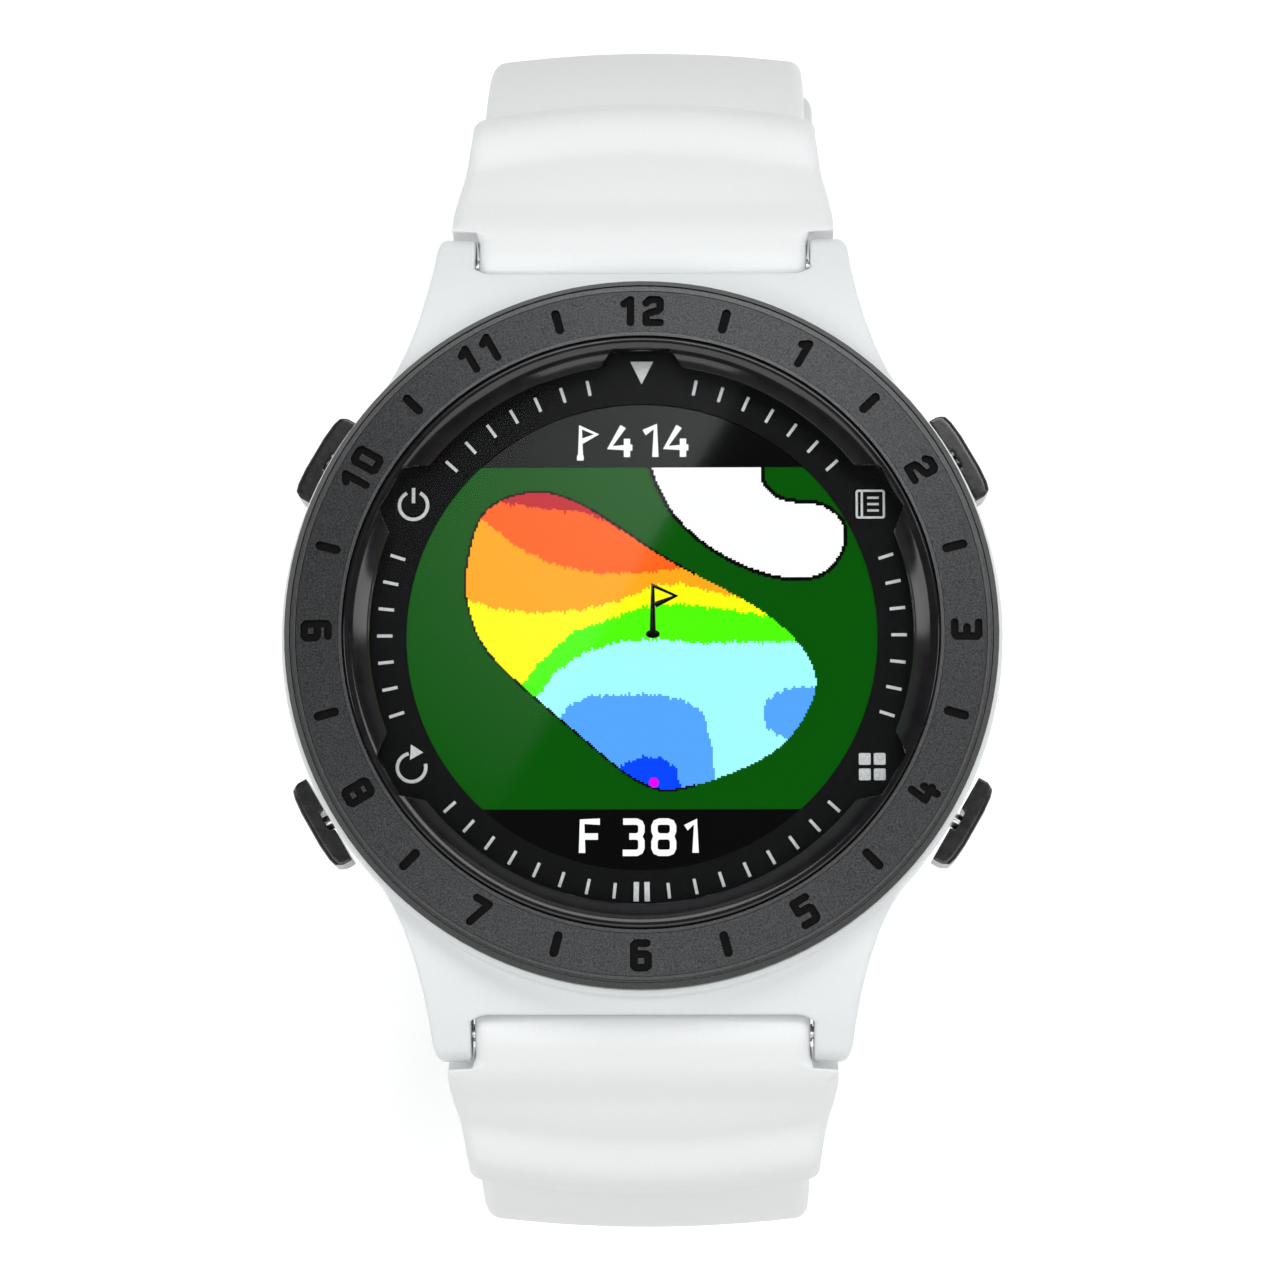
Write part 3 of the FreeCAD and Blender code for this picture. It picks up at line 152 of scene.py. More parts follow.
GLOSS_BLACK = grained("ring_gloss_black", (0.006, 0.006, 0.007), (0.009, 0.009, 0.010),
                      0.12, 0.03, 1.2, 0.002, specular=0.3)
BUTTON_BLACK = grained("button_gloss_black", (0.010, 0.010, 0.011), (0.016, 0.016, 0.017),
                       0.20, 0.05, 0.6, 0.003, specular=0.5)
BACK_PLASTIC = grained("back_plastic", (0.085, 0.088, 0.092), (0.11, 0.113, 0.118),
                       0.45, 0.06, 0.22, 0.006)
STEEL = grained("brushed_steel", (0.50, 0.50, 0.49), (0.68, 0.68, 0.66), 0.28, 0.08,
                0.35, 0.003, metallic=1.0, stretch=(0.12, 1.0, 1.0))
RUBBER = grained("seal_rubber", (0.02, 0.02, 0.02), (0.035, 0.035, 0.035), 0.7, 0.08,
                 0.1, 0.004)
BOARD_GREEN = grained("circuit_board", (0.01, 0.10, 0.045), (0.02, 0.16, 0.07), 0.35, 0.08,
                      0.5, 0.004)
CERAMIC = grained("antenna_ceramic", (0.55, 0.49, 0.36), (0.66, 0.60, 0.46), 0.6, 0.08,
                  0.15, 0.006)
GOLD = grained("contact_gold", (0.72, 0.50, 0.18), (0.85, 0.64, 0.28), 0.22, 0.05, 0.2,
               0.002, metallic=1.0)
INNER_PLASTIC = grained("inner_plastic", (0.03, 0.03, 0.032), (0.045, 0.045, 0.048), 0.55,
                        0.08, 0.2, 0.005)
FOIL = grained("battery_foil", (0.48, 0.49, 0.52), (0.62, 0.63, 0.66), 0.35, 0.1, 0.8,
               0.02, metallic=0.9)
FILM = grained("cable_film", (0.42, 0.19, 0.03), (0.55, 0.27, 0.05), 0.3, 0.05, 0.6, 0.003)
DIAL_BLACK = grained("dial_black", (0.003, 0.003, 0.0035), (0.005, 0.005, 0.0055), 0.5,
                     0.05, 0.3, 0.001, specular=0.05)
PRINT_GREY = grained("dial_print_grey", (0.56, 0.56, 0.56), (0.68, 0.68, 0.68), 0.55, 0.05,
                     0.2, 0.001, specular=0.2)


def lens_material():
    """Clear flat glass: a mirror-like coat over a surface that is seen straight through."""
    mat, shader = new_material("lens_clear", (0.9, 0.93, 0.95), 0.03)
    tree = mat.node_tree
    clear = tree.nodes.new("ShaderNodeBsdfTransparent")
    clear.inputs["Color"].default_value = (0.97, 0.98, 0.98, 1)
    gloss = tree.nodes.new("ShaderNodeBsdfGlossy")
    gloss.inputs["Color"].default_value = (1, 1, 1, 1)
    facing = add_node(mat, "ShaderNodeLayerWeight", Blend=0.5)
    steep = tree.nodes.new("ShaderNodeMath")
    steep.operation = "POWER"
    steep.inputs[1].default_value = 5.0
    share = add_node(mat, "ShaderNodeMapRange")
    share.inputs["To Min"].default_value = 0.003
    share.inputs["To Max"].default_value = 0.8
    mix = tree.nodes.new("ShaderNodeMixShader")
    tex = noise(mat, 3.0)
    vary_roughness(mat, tex, gloss, 0.01, 0.03)
    link(mat, facing, "Facing", steep, 0)
    link(mat, steep, "Value", share, "Value")
    link(mat, share, "Result", mix, 0)
    tree.links.new(clear.outputs[0], mix.inputs[1])
    tree.links.new(gloss.outputs[0], mix.inputs[2])
    tree.links.new(mix.outputs[0], tree.nodes["Material Output"].inputs["Surface"])
    tree.nodes.remove(shader)
    return mat


def display_material(name, color, glow=1.0):
    """One lit colour of the display, with the fine grid of its pixels."""
    mat, shader = new_material(name, [c * 0.1 for c in color], 0.04, specular=0.5)
    coords = add_node(mat, "ShaderNodeTexCoord")
    bricks = add_node(mat, "ShaderNodeTexBrick")
    bricks.offset = 0.0
    bricks.inputs["Scale"].default_value = 1.0 / MM
    bricks.inputs["Brick Width"].default_value = PIXEL
    bricks.inputs["Row Height"].default_value = PIXEL
    bricks.inputs["Mortar Size"].default_value = PIXEL * 0.06
    bricks.inputs["Color1"].default_value = (*color, 1)
    bricks.inputs["Color2"].default_value = (*color, 1)
    bricks.inputs["Mortar"].default_value = (*[c * 0.82 for c in color], 1)
    link(mat, coords, "Object", bricks, "Vector")
    link(mat, bricks, "Color", shader, "Emission Color")
    shader.inputs["Emission Strength"].default_value = glow
    return mat


PIXEL = 0.127
LENS = lens_material()

FINISH = {
    "case_middle": WHITE_PLASTIC, "case_back": BACK_PLASTIC, "case_back_screws": STEEL,
    "case_back_gasket": RUBBER, "charging_contacts": GOLD, "bezel": BEZEL_METAL,
    "bezel_insert": INSERT_METAL, "inner_ring": GLOSS_BLACK, "lens": LENS,
    "lens_gasket": RUBBER, "dial_ring": DIAL_BLACK, "display_panel": DIAL_BLACK,
    "display_frame": INNER_PLASTIC, "main_board": BOARD_GREEN, "board_screws": STEEL,
    "battery": FOIL, "gps_antenna": CERAMIC, "processor_shield": STEEL,
    "vibration_motor": STEEL, "display_cable": FILM, "strap_upper": SILICONE,
    "strap_lower": SILICONE, "keeper_fixed": SILICONE, "keeper_free": SILICONE,
}
PREFIXES = {
    "button_cap": BUTTON_BLACK, "button_stem": STEEL, "button_seal": RUBBER,
    "button_clip": STEEL, "button_bush": INNER_PLASTIC, "button_switch": INNER_PLASTIC,
    "spring_bar": STEEL, "buckle": STEEL,
}
for name, node in nodes.items():
    finish = FINISH.get(name)
    if finish is None:
        finish = [mat for prefix, mat in PREFIXES.items() if name.startswith(prefix)][0]
    node.data.materials.clear()
    node.data.materials.append(finish)


def paint_groove_shade(node, inner, outer, fall_mm, tolerance_mm=0.05):
    """Engraved walls and floors, below the node's sloping top face, take a near-black that is painted shade
    for the shadow inside the grooves.
    """
    mesh = nodes[node].data
    mesh.materials.append(GROOVE_PAINTED_SHADE)
    peak = top_of(node)
    for face in mesh.polygons:
        radius = math.hypot(face.center.x, face.center.y) / MM
        surface = peak - fall_mm * (radius - inner) / (outer - inner)
        if face.center.z / MM < surface - tolerance_mm:
            face.material_index = 1


# The engraved numerals of the insert get painted shade on their walls and floors.
paint_groove_shade("bezel_insert", 19.5, 22.2, 0.25)


# ---------------------------------------------------------------- mesh helpers

def make_object(name, verts_mm, faces, material, smooth=True):
    mesh = bpy.data.meshes.new(name)
    mesh.from_pydata([tuple(c * MM for c in v) for v in verts_mm], [], faces)
    mesh.materials.append(material)
    obj = bpy.data.objects.new(name, mesh)
    scene.collection.objects.link(obj)
    tidy = bmesh.new()
    tidy.from_mesh(mesh)
    bmesh.ops.recalc_face_normals(tidy, faces=tidy.faces)
    tidy.to_mesh(mesh)
    tidy.free()
    for face in mesh.polygons:
        face.use_smooth = smooth
    return obj


def bake_modifiers(obj):
    bpy.context.view_layer.update()
    depsgraph = bpy.context.evaluated_depsgraph_get()
    mesh = bpy.data.meshes.new_from_object(obj.evaluated_get(depsgraph))
    obj.modifiers.clear()
    obj.data = mesh
    return obj


def skin(name, loops, material):
    """Closed solid through a run of closed loops, with flat caps at both ends."""
    count = len(loops[0])
    verts = [point for loop in loops for point in loop]
    faces = []
    for i in range(len(loops) - 1):
        for j in range(count):
            k = (j + 1) % count
            faces.append((i * count + j, i * count + k, (i + 1) * count + k,
                          (i + 1) * count + j))
    faces.append(tuple(range(count)))
    last = (len(loops) - 1) * count
    faces.append(tuple(range(last, last + count)))
    return make_object(name, verts, faces, material)


def stroke(name, runs, width, height, material, flat=0.06, closed=False):
    """Printed strokes: round wire along each run, pressed flat at a height. All mm."""
    curve = bpy.data.curves.new(name, "CURVE")
    curve.dimensions = "3D"
    curve.bevel_depth = width / 2 * MM
    curve.bevel_resolution = 2
    curve.use_fill_caps = True
    for run in runs:
        spline = curve.splines.new("POLY")
        spline.points.add(len(run) - 1)
        for point, (x, y) in zip(spline.points, run):
            point.co = (x * MM, y * MM, 0, 1)
        spline.use_cyclic_u = closed
    wire = bpy.data.objects.new(name + "_wire", curve)
    scene.collection.objects.link(wire)
    bpy.context.view_layer.update()
    depsgraph = bpy.context.evaluated_depsgraph_get()
    mesh = bpy.data.meshes.new_from_object(wire.evaluated_get(depsgraph))
    bpy.data.objects.remove(wire)
    for vert in mesh.vertices:
        vert.co.z = height * MM + vert.co.z * flat
    mesh.materials.clear()
    mesh.materials.append(material)
    obj = bpy.data.objects.new(name, mesh)
    scene.collection.objects.link(obj)
    return obj


def smooth_step(value, start, end):
    t = min(max((value - start) / (end - start), 0.0), 1.0)
    return t * t * (3 - 2 * t)


def clock_point(radius, degrees, aside=0.0):
    a = math.radians(90 - degrees)
    return (radius * math.cos(a) + aside * math.sin(a), radius * math.sin(a) - aside * math.cos(a))


def arc_points(radius, first, last, count, centre=(0, 0)):
    angles = [math.radians(first + (last - first) * i / (count - 1)) for i in range(count)]
    return [(centre[0] + radius * math.cos(a), centre[1] + radius * math.sin(a))
            for a in angles]


# ---------------------------------------------------------------- strap

BAR_Y = 25.4
BAR_Z = 4.9


class Bend:
    """The strap's middle line seen from the side: tangent arcs, then a flat tail."""

    def __init__(self, heading, arcs, tail, step):
        self.step = step
        self.runs = []
        y, z, angle, start = BAR_Y, BAR_Z, heading, 0.0
        self.runs.append(("line", start, y, z, angle, 0, 0))
        for radius, sweep in arcs:
            turn = math.radians(angle)
            cy, cz = y - radius * math.sin(turn), z - radius * math.cos(turn)
            self.runs.append(("arc", start, cy, cz, angle, radius, sweep))
            angle += sweep
            start += radius * math.radians(sweep)
            y = cy + radius * math.sin(math.radians(angle))
            z = cz + radius * math.cos(math.radians(angle))
        self.bends_end = start
        self.runs.append(("line", start, y, z, angle, 0, 0))
        self.length = start + tail

    def at(self, s):
        """Point and outward normal at a distance along the strap, in Y and Z."""
        run = self.runs[0]
        for candidate in self.runs[1:]:
            if s >= candidate[1]:
                run = candidate
        kind, start, y, z, angle, radius, _ = run
        if s < 0:
            kind, start, y, z, angle, radius, _ = self.runs[0]
        if kind == "line":
            turn = math.radians(angle)
            return (y + (s - start) * math.cos(turn), z - (s - start) * math.sin(turn),
                    math.sin(turn), math.cos(turn))
        turn = math.radians(angle) + (s - start) / radius
        return (y + radius * math.sin(turn), z + radius * math.cos(turn),
                math.sin(turn), math.cos(turn))


UPPER = Bend(20, [(30.4, 70), (15.7, 72)], 0.0, 13.3)
LOWER = Bend(30, [(21.8, 60), (27.87, 90)], 17.6, 12.2)
TONGUE = 10.85
WING = 12.7
WAIST = 11.65
BAND = 11.0
HALF_THICK = 1.5
ROOT_HALF = 2.2
LUG_CLEAR = 2.5
WING_START = 1.35


def half_width(s, bend, tip):
    if s < WING_START:
        return TONGUE
    side_step = bend.step - 1.4
    opening = smooth_step(s, WING_START, WING_START + 0.25)
    wing = WING - (WING - WAIST) * smooth_step(s, 3.0, side_step - 0.6) ** 0.8
    width = TONGUE + (wing - TONGUE) * opening
    if s > side_step:
        width = WAIST + (BAND - WAIST) * smooth_step(s, side_step, side_step + 0.7)
    left = bend.length + HALF_THICK - s
    if tip and left < 12:
        width = min(width, math.sqrt(max(144 - (12 - left) ** 2, 0.01)))
    return width


def outer_height(s, across, bend):
    """How far the outer skin stands off the middle line; across runs from -1 to 1."""
    bow = across ** 2
    foot = bend.step - 1.4 * bow
    flat = ROOT_HALF - 0.55 * smooth_step(s, 1.2, 4.6)
    ridge = 0.95 * smooth_step(s, foot - 5.0, foot - 1.9) - 0.30 * smooth_step(s, foot - 1.6, foot)
    root = flat + ridge - 0.45 * bow * smooth_step(s, 2.5, 8)
    band = HALF_THICK - 0.22 * math.exp(-((s - foot - 1.1) / 1.3) ** 2) - 0.70 * bow
    return root + (band - root) * smooth_step(s, foot - 0.05, foot + 0.45)


def wing_foot(s, top, low):
    """Lowest height of a wing: it clears the lug's round end, which is centred on the bar."""
    if s >= LUG_CLEAR or s < WING_START:
        return low
    return min(math.sqrt(LUG_CLEAR ** 2 - s * s), top - 0.05)


def strap_loop(s, bend, tip, shrink=1.0):
    y, z, ny, nz = bend.at(s)
    width = half_width(s, bend, tip)
    inner = ROOT_HALF + (HALF_THICK - ROOT_HALF) * smooth_step(s, bend.step - 3, bend.step + 1.2)
    low = -inner * shrink
    corner = outer_height(s, 1.0, bend) * shrink
    foot = wing_foot(s, corner, low)
    root_width = TONGUE if foot > low else width
    edge_out = min(0.95, width * 0.5, (corner - foot) * 0.9) * shrink
    edge_in = 0.55 * shrink
    points = []
    steps = 48
    for i in range(steps + 1):
        across = -1 + 2 * i / steps
        x = across * (width - edge_out)
        points.append((x, outer_height(s, x / width, bend) * shrink))
    side = points[-1][1]
    for i in range(1, 6):
        a = math.radians(90 - 15 * i)
        points.append((width - edge_out + edge_out * math.cos(a),
                       side - edge_out + edge_out * math.sin(a)))
    points.append((width, max(side - edge_out - 0.02, foot)))
    under = foot if foot > low else low + edge_in
    points.append((width, under))
    points.append((root_width, under))
    for i in range(0, 6):
        a = math.radians(-18 * i)
        points.append((root_width - edge_in + edge_in * math.cos(a),
                       low + edge_in + edge_in * math.sin(a)))
    for i in range(steps + 1):
        across = 1 - 2 * i / steps
        points.append((across * (root_width - edge_in), low))
    left = [(-x, n) for x, n in points[len(points) - steps - 2:steps:-1]]
    points += left
    return [(x, y + n * ny, z + n * nz) for x, n in points]


def strap(name, node, bend, tip, rotated, body):
    stations = []
    root_end = [ROOT_HALF * math.cos(math.radians(a)) for a in range(4, 90, 8)]
    for back in root_end:
        stations.append((-back, math.sqrt(1 - (back / ROOT_HALF) ** 2)))
    s = 0.0
    while s < bend.length:
        stations.append((s, 1.0))
        if WING_START - 0.3 < s < LUG_CLEAR + 0.2 or abs(s - bend.step) < 2.4:
            s += 0.08
        else:
            s += 0.35 if s < 18 else 0.7
    stations.append((bend.length, 1.0))
    for a in range(10, 88, 9):
        turn = math.radians(a)
        stations.append((bend.length + HALF_THICK * math.sin(turn), math.cos(turn)))
    loops = [strap_loop(s, bend, tip, shrink) for s, shrink in stations]
    obj = skin(name, loops, SILICONE)
    if rotated:
        obj.data.transform(Matrix.Rotation(math.pi, 4, "Z"))
    return obj


def cutter(name, outline, low, high, place):
    """A prism of a closed outline, for cutting; place maps it into the watch's frame."""
    count = len(outline)
    verts = [(x, y, low) for x, y in outline] + [(x, y, high) for x, y in outline]
    faces = [tuple(range(count)), tuple(range(count, 2 * count))]
    faces += [(i, (i + 1) % count, count + (i + 1) % count, count + i) for i in range(count)]
    obj = make_object(name, verts, faces, SILICONE)
    obj.data.transform(place)
    return obj


def cut_with(obj, cutters):
    for tool in cutters:
        modifier = obj.modifiers.new("cut", "BOOLEAN")
        modifier.operation = "DIFFERENCE"
        modifier.solver = "EXACT"
        modifier.object = tool
        bake_modifiers(obj)
        bpy.data.objects.remove(tool)
    return obj


def strap_place(bend, s, rotated):
    """Frame at a point of the strap: X across, Y along it, Z outwards."""
    y, z, ny, nz = bend.at(s)
    columns = Matrix(((1, 0, 0, 0), (0, nz, ny, y * MM), (0, -ny, nz, z * MM), (0, 0, 0, 1)))
    if rotated:
        return Matrix.Rotation(math.pi, 4, "Z") @ columns
    return columns


def rounded_box(half_x, half_y, radius, steps=6):
    points = []
    for cx, cy, first in ((1, 1, 0), (-1, 1, 90), (-1, -1, 180), (1, -1, 270)):
        centre = (cx * (half_x - radius), cy * (half_y - radius))
        points += arc_points(radius, first, first + 90, steps, centre)
    return points


upper_soft = strap("strap_upper_soft", "strap_upper", UPPER, False, False, "upper_strap")
slot = cutter("tang_slot", rounded_box(1.5, 3.5, 0.6), -4, 4, strap_place(UPPER, UPPER.length - 0.1, False))
cut_with(upper_soft, [slot])
lower_soft = strap("strap_lower_soft", "strap_lower", LOWER, True, True, "lower_strap")
hole_cutters = []
first_bend = LOWER.runs[2][1]
for number in range(6):
    s = first_bend + LOWER.runs[2][5] * math.radians(13 + number * 13)
    hole_cutters.append(cutter("hole%d" % number, arc_points(1.25, 0, 345, 24), -4, 4,
                               strap_place(LOWER, s, True)))
for number in range(2):
    s = LOWER.bends_end + 1.0 + number * 6.1
    hole_cutters.append(cutter("tail_hole%d" % number, arc_points(1.25, 0, 345, 24), -4, 4,
                               strap_place(LOWER, s, True)))
cut_with(lower_soft, hole_cutters)
for piece, node, body in ((upper_soft, "strap_upper", "upper_strap"),
                          (lower_soft, "strap_lower", "lower_strap")):
    for face in piece.data.polygons:
        face.use_smooth = True
    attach(piece, body)
    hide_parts(node)


def keeper(name, node, body, middle, play):
    """Soft loop round the strap, following its second bend."""
    centre_y = UPPER.runs[2][2]
    centre_z = UPPER.runs[2][3]
    radius = UPPER.runs[2][5]
    wall = 1.0
    low = radius - HALF_THICK - play - wall
    high = radius + HALF_THICK + 3.3 + wall
    wide = BAND + play + wall
    mid_x, mid_low, mid_high = wide - wall / 2, low + wall / 2, high - wall / 2
    half_r = (mid_high - mid_low) / 2
    loop = rounded_box(mid_x, half_r, 1.0, 7)
    sweep = math.radians(16)
    verts = []
    profile = rounded_box(0.5, 0.5, 0.22, 5)
    count = len(profile)
    for i, (x, r) in enumerate(loop):
        ahead = Vector(loop[(i + 1) % len(loop)]) - Vector(loop[i - 1])
        out = Vector((ahead.y, -ahead.x)).normalized()
        for u, v in profile:
            px = x + out.x * u * (wall - 0.02)
            pr = r + (mid_low + mid_high) / 2 + out.y * u * (wall - 0.02)
            angle = math.radians(middle) + v * sweep * 0.995
            verts.append((px, centre_y + pr * math.sin(angle), centre_z + pr * math.cos(angle)))
    faces = []
    for i in range(len(loop)):
        for j in range(count):
            a = i * count + j
            b = i * count + (j + 1) % count
            c = ((i + 1) % len(loop)) * count + (j + 1) % count
            d = ((i + 1) % len(loop)) * count + j
            faces.append((a, b, c, d))
    obj = make_object(name, verts, faces, SILICONE)
    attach(obj, body)
    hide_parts(node)
    return obj


keeper("keeper_fixed_soft", "keeper_fixed", "upper_strap", 146, 0.0)
keeper("keeper_free_soft", "keeper_free", "sliding_keeper", 129, 0.25)


# ---------------------------------------------------------------- case

def soften(name, node, voxel_mm, rounds, material, body):
    """The node's own form with its sharp edges rounded over, as moulded plastic has."""
    source = nodes[node]
    obj = bpy.data.objects.new(name, source.data.copy())
    scene.collection.objects.link(obj)
    remesh = obj.modifiers.new("remesh", "REMESH")
    remesh.mode = "VOXEL"
    remesh.voxel_size = voxel_mm * MM
    relax = obj.modifiers.new("relax", "SMOOTH")
    relax.factor = 0.5
    relax.iterations = rounds
    bake_modifiers(obj)
    obj.data.materials.clear()
    obj.data.materials.append(material)
    for face in obj.data.polygons:
        face.use_smooth = True
    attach(obj, body)
    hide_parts(node)
    return obj


soften("case_middle_soft", "case_middle", 0.14, 6, WHITE_PLASTIC, "watch")
for label in ("power", "back", "scorecard", "menu"):
    soften("button_cap_%s_soft" % label, "button_cap_" + label, 0.07, 5, BUTTON_BLACK,
           "button_" + label)


RING_POCKETS = [(0, 18.35, 2.6, 1.7)] + [(at, 18.66, 2.5, 1.4) for at in (60, 120, 240, 300)]
RING_INNER = 17.5


def ring_reach(clock):
    """Inner edge of the glossy ring at a clock angle, with its five pockets."""
    reach = RING_INNER
    for middle, deep, wide, narrow in RING_POCKETS:
        off = math.radians(abs((clock - middle + 180) % 360 - 180))
        aside = math.sin(min(off, 1.0)) * RING_INNER
        if aside < wide:
            ramp = min((wide - aside) / (wide - narrow), 1.0)
            reach = max(reach, RING_INNER + (deep / math.cos(off) - RING_INNER) * ramp)
    return min(reach, deep + 0.06) if reach > RING_INNER else reach


def ring_surface(radius):
    turn = min((radius - RING_INNER) / 1.45, 1.0) * math.pi / 2
    return 11.60 + 0.83 * math.sin(turn)


def gloss_ring():
    verts, faces = [], []
    around = 900
    for i in range(around):
        clock = 360 * i / around
        reach = ring_reach(clock)
        profile = [(reach + 0.04, 11.42), (reach, 11.50), (reach, ring_surface(reach) - 0.10)]
        for step in range(13):
            radius = reach + 0.07 + (19.02 - reach - 0.07) * step / 12
            profile.append((radius, ring_surface(radius)))
        profile += [(19.10, 12.41), (19.16, 12.36), (19.18, 12.28), (19.18, 11.42)]
        for radius, height in profile:
            verts.append((*clock_point(radius, clock), height))
    count = len(profile)
    for i in range(around):
        after = (i + 1) % around
        for j in range(count):
            k = (j + 1) % count
            faces.append((i * count + j, i * count + k, after * count + k, after * count + j))
    ring = make_object("inner_ring_soft", verts, faces, GLOSS_BLACK)
    ring.data.set_sharp_from_angle(angle=math.radians(38))
    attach(ring, "watch")
    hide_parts("inner_ring")


gloss_ring()

# ---------------------------------------------------------------- dial marks

DIAL_TOP = top_of("dial_ring") + 0.012
CLOCK_TICKS = [d for d in range(12, 349, 6)
               if min(abs(d - skip) for skip in (60, 120, 240, 300)) > 9 and d != 180]


def prisms(name, shapes, low, high, material):
    """Several small flat plates in one object; every shape is a closed outline."""
    verts, faces = [], []
    for outline in shapes:
        start = len(verts)
        count = len(outline)
        verts += [(x, y, low) for x, y in outline] + [(x, y, high) for x, y in outline]
        faces.append(tuple(range(start + count - 1, start - 1, -1)))
        faces.append(tuple(range(start + count, start + 2 * count)))
        for i in range(count):
            j = (i + 1) % count
            faces.append((start + i, start + j, start + count + j, start + count + i))
    return make_object(name, verts, faces, material, smooth=False)


def tick(degrees, inner, outer, width):
    return [clock_point(inner, degrees, -width / 2), clock_point(inner, degrees, width / 2),
            clock_point(outer, degrees, width / 2), clock_point(outer, degrees, -width / 2)]


marks = [tick(d, 16.15, 17.15, 0.20) for d in CLOCK_TICKS]
marks += [tick(178.8, 16.0, 17.25, 0.34), tick(181.2, 16.0, 17.25, 0.34)]
triangle = [clock_point(18.05, 0, -0.75), clock_point(18.05, 0, 0.75), clock_point(16.55, 0)]
marks.append(triangle)
ride_watch = [prisms("minute_marks", marks, DIAL_TOP - 0.006, DIAL_TOP + 0.012, PRINT_GREY)]


def symbol_place(degrees, points):
    """Puts a symbol drawn upright about its own centre at its clock angle."""
    cx, cy = clock_point(17.15, degrees)
    return [(cx + x, cy + y) for x, y in points]


power = [symbol_place(300, arc_points(0.92, 118, 422, 40)),
         symbol_place(300, [(0, 0.15), (0, 1.15)])]
again = [symbol_place(240, arc_points(0.92, 15, -258, 40))]
arrow = symbol_place(240, [(-0.10, 0.50), (0.75, 0.98), (-0.05, 1.50)])
card = [symbol_place(60, [(x, y) for x, y in rounded_box(0.88, 0.88, 0.12)])]
card_lines = [symbol_place(60, [(-0.55, -0.8), (-0.55, 0.8)])]
card_lines += [symbol_place(60, [(-0.2, y), (0.55, y)]) for y in (-0.42, 0.0, 0.42)]
ride_watch += [
    stroke("symbol_power", power, 0.24, DIAL_TOP, PRINT_GREY),
    stroke("symbol_back", again, 0.24, DIAL_TOP, PRINT_GREY),
    prisms("symbol_back_head", [arrow], DIAL_TOP - 0.006, DIAL_TOP + 0.012, PRINT_GREY),
    stroke("symbol_card_edge", card, 0.16, DIAL_TOP, PRINT_GREY, closed=True),
    stroke("symbol_card_lines", card_lines, 0.16, DIAL_TOP, PRINT_GREY),
]
squares = []
for dx in (-0.48, 0.48):
    for dy in (-0.50, 0.50):
        squares.append(symbol_place(120, [(x + dx, y + dy)
                                          for x, y in rounded_box(0.38, 0.38, 0.08, 3)]))
ride_watch.append(prisms("symbol_menu", squares, DIAL_TOP - 0.006, DIAL_TOP + 0.012, PRINT_GREY))


# ---------------------------------------------------------------- display picture

PANEL = top_of("display_panel")
PICTURE_RADIUS = 15.6
BAR_TOP = 11.05
BAR_BOTTOM = -11.3
COLORS = {
    "black": (0.0, 0.0, 0.0), "map": (0.0, 0.088, 0.0), "red": (0.55, 0.02, 0.03),
    "orange": (1.0, 0.13, 0.01), "amber": (1.0, 0.40, 0.01), "yellow": (1.0, 1.0, 0.005),
    "green": (0.08, 1.0, 0.0), "cyan": (0.38, 1.0, 1.0), "blue": (0.09, 0.38, 1.0),
    "deep": (0.0, 0.06, 1.0), "white": (1.0, 1.0, 1.0), "magenta": (0.8, 0.0, 1.0),
}
PALETTE = list(COLORS)
PICTURE = {name: display_material("display_" + name, color) for name, color in COLORS.items()}


def closed_spline(points, per_span=12):
    """Smooth closed outline through a few given points (Catmull-Rom)."""
    result = []
    count = len(points)
    for i in range(count):
        p0, p1, p2, p3 = [Vector(points[(i + k - 1) % count]) for k in range(4)]
        for step in range(per_span):
            t = step / per_span
            q = 0.5 * ((2 * p1) + (p2 - p0) * t + (2 * p0 - 5 * p1 + 4 * p2 - p3) * t * t
                       + (3 * p1 - p0 - 3 * p2 + p3) * t ** 3)
            result.append((q.x, q.y))
    return result


def inside(px, py, outline):
    """Which of many points lie in an outline, and how far each is from its edge."""
    poly = np.array(outline)
    after = np.roll(poly, -1, axis=0)
    within = np.zeros(px.shape, bool)
    nearest = np.full(px.shape, 1e9)
    for (x0, y0), (x1, y1) in zip(poly, after):
        if y0 != y1:
            crosses = (y0 > py) != (y1 > py)
            at = (x1 - x0) * (py - y0) / (y1 - y0) + x0
            within ^= crosses & (px < at)
        length = (x1 - x0) ** 2 + (y1 - y0) ** 2
        t = np.clip(((px - x0) * (x1 - x0) + (py - y0) * (y1 - y0)) / max(length, 1e-9), 0, 1)
        gap = np.hypot(px - x0 - t * (x1 - x0), py - y0 - t * (y1 - y0))
        nearest = np.minimum(nearest, gap)
    return within, nearest


GREEN_EDGE = closed_spline([
    (-11.4, 4.6), (-10.2, 8.2), (-7.0, 9.5), (-3.6, 8.5), (1.6, 5.1), (7.8, 1.6),
    (10.7, -1.3), (11.1, -4.0), (8.6, -7.5), (3.2, -9.8), (0.0, -9.6), (-4.5, -6.1),
    (-9.6, -1.5), (-11.2, 1.6),
])
BUNKER_EDGE = closed_spline([
    (0.9, 12.5), (1.5, 8.8), (4.2, 5.9), (8.0, 4.0), (11.2, 3.8), (12.9, 5.2), (13.2, 7.2),
    (11.8, 8.6), (9.2, 9.0), (7.9, 10.2), (7.5, 12.5),
])


def contour(px, knots):
    """Height of a zone's upper edge over x, through listed knots, with pixel jitter."""
    xs = [k[0] for k in knots]
    ys = [k[1] for k in knots]
    wobble = 0.10 * np.sin(px * 9.1) * np.sin(px * 3.7 + 1.0) + 0.07 * np.sin(px * 23.0 + 0.5)
    return np.interp(px, xs, ys) + wobble


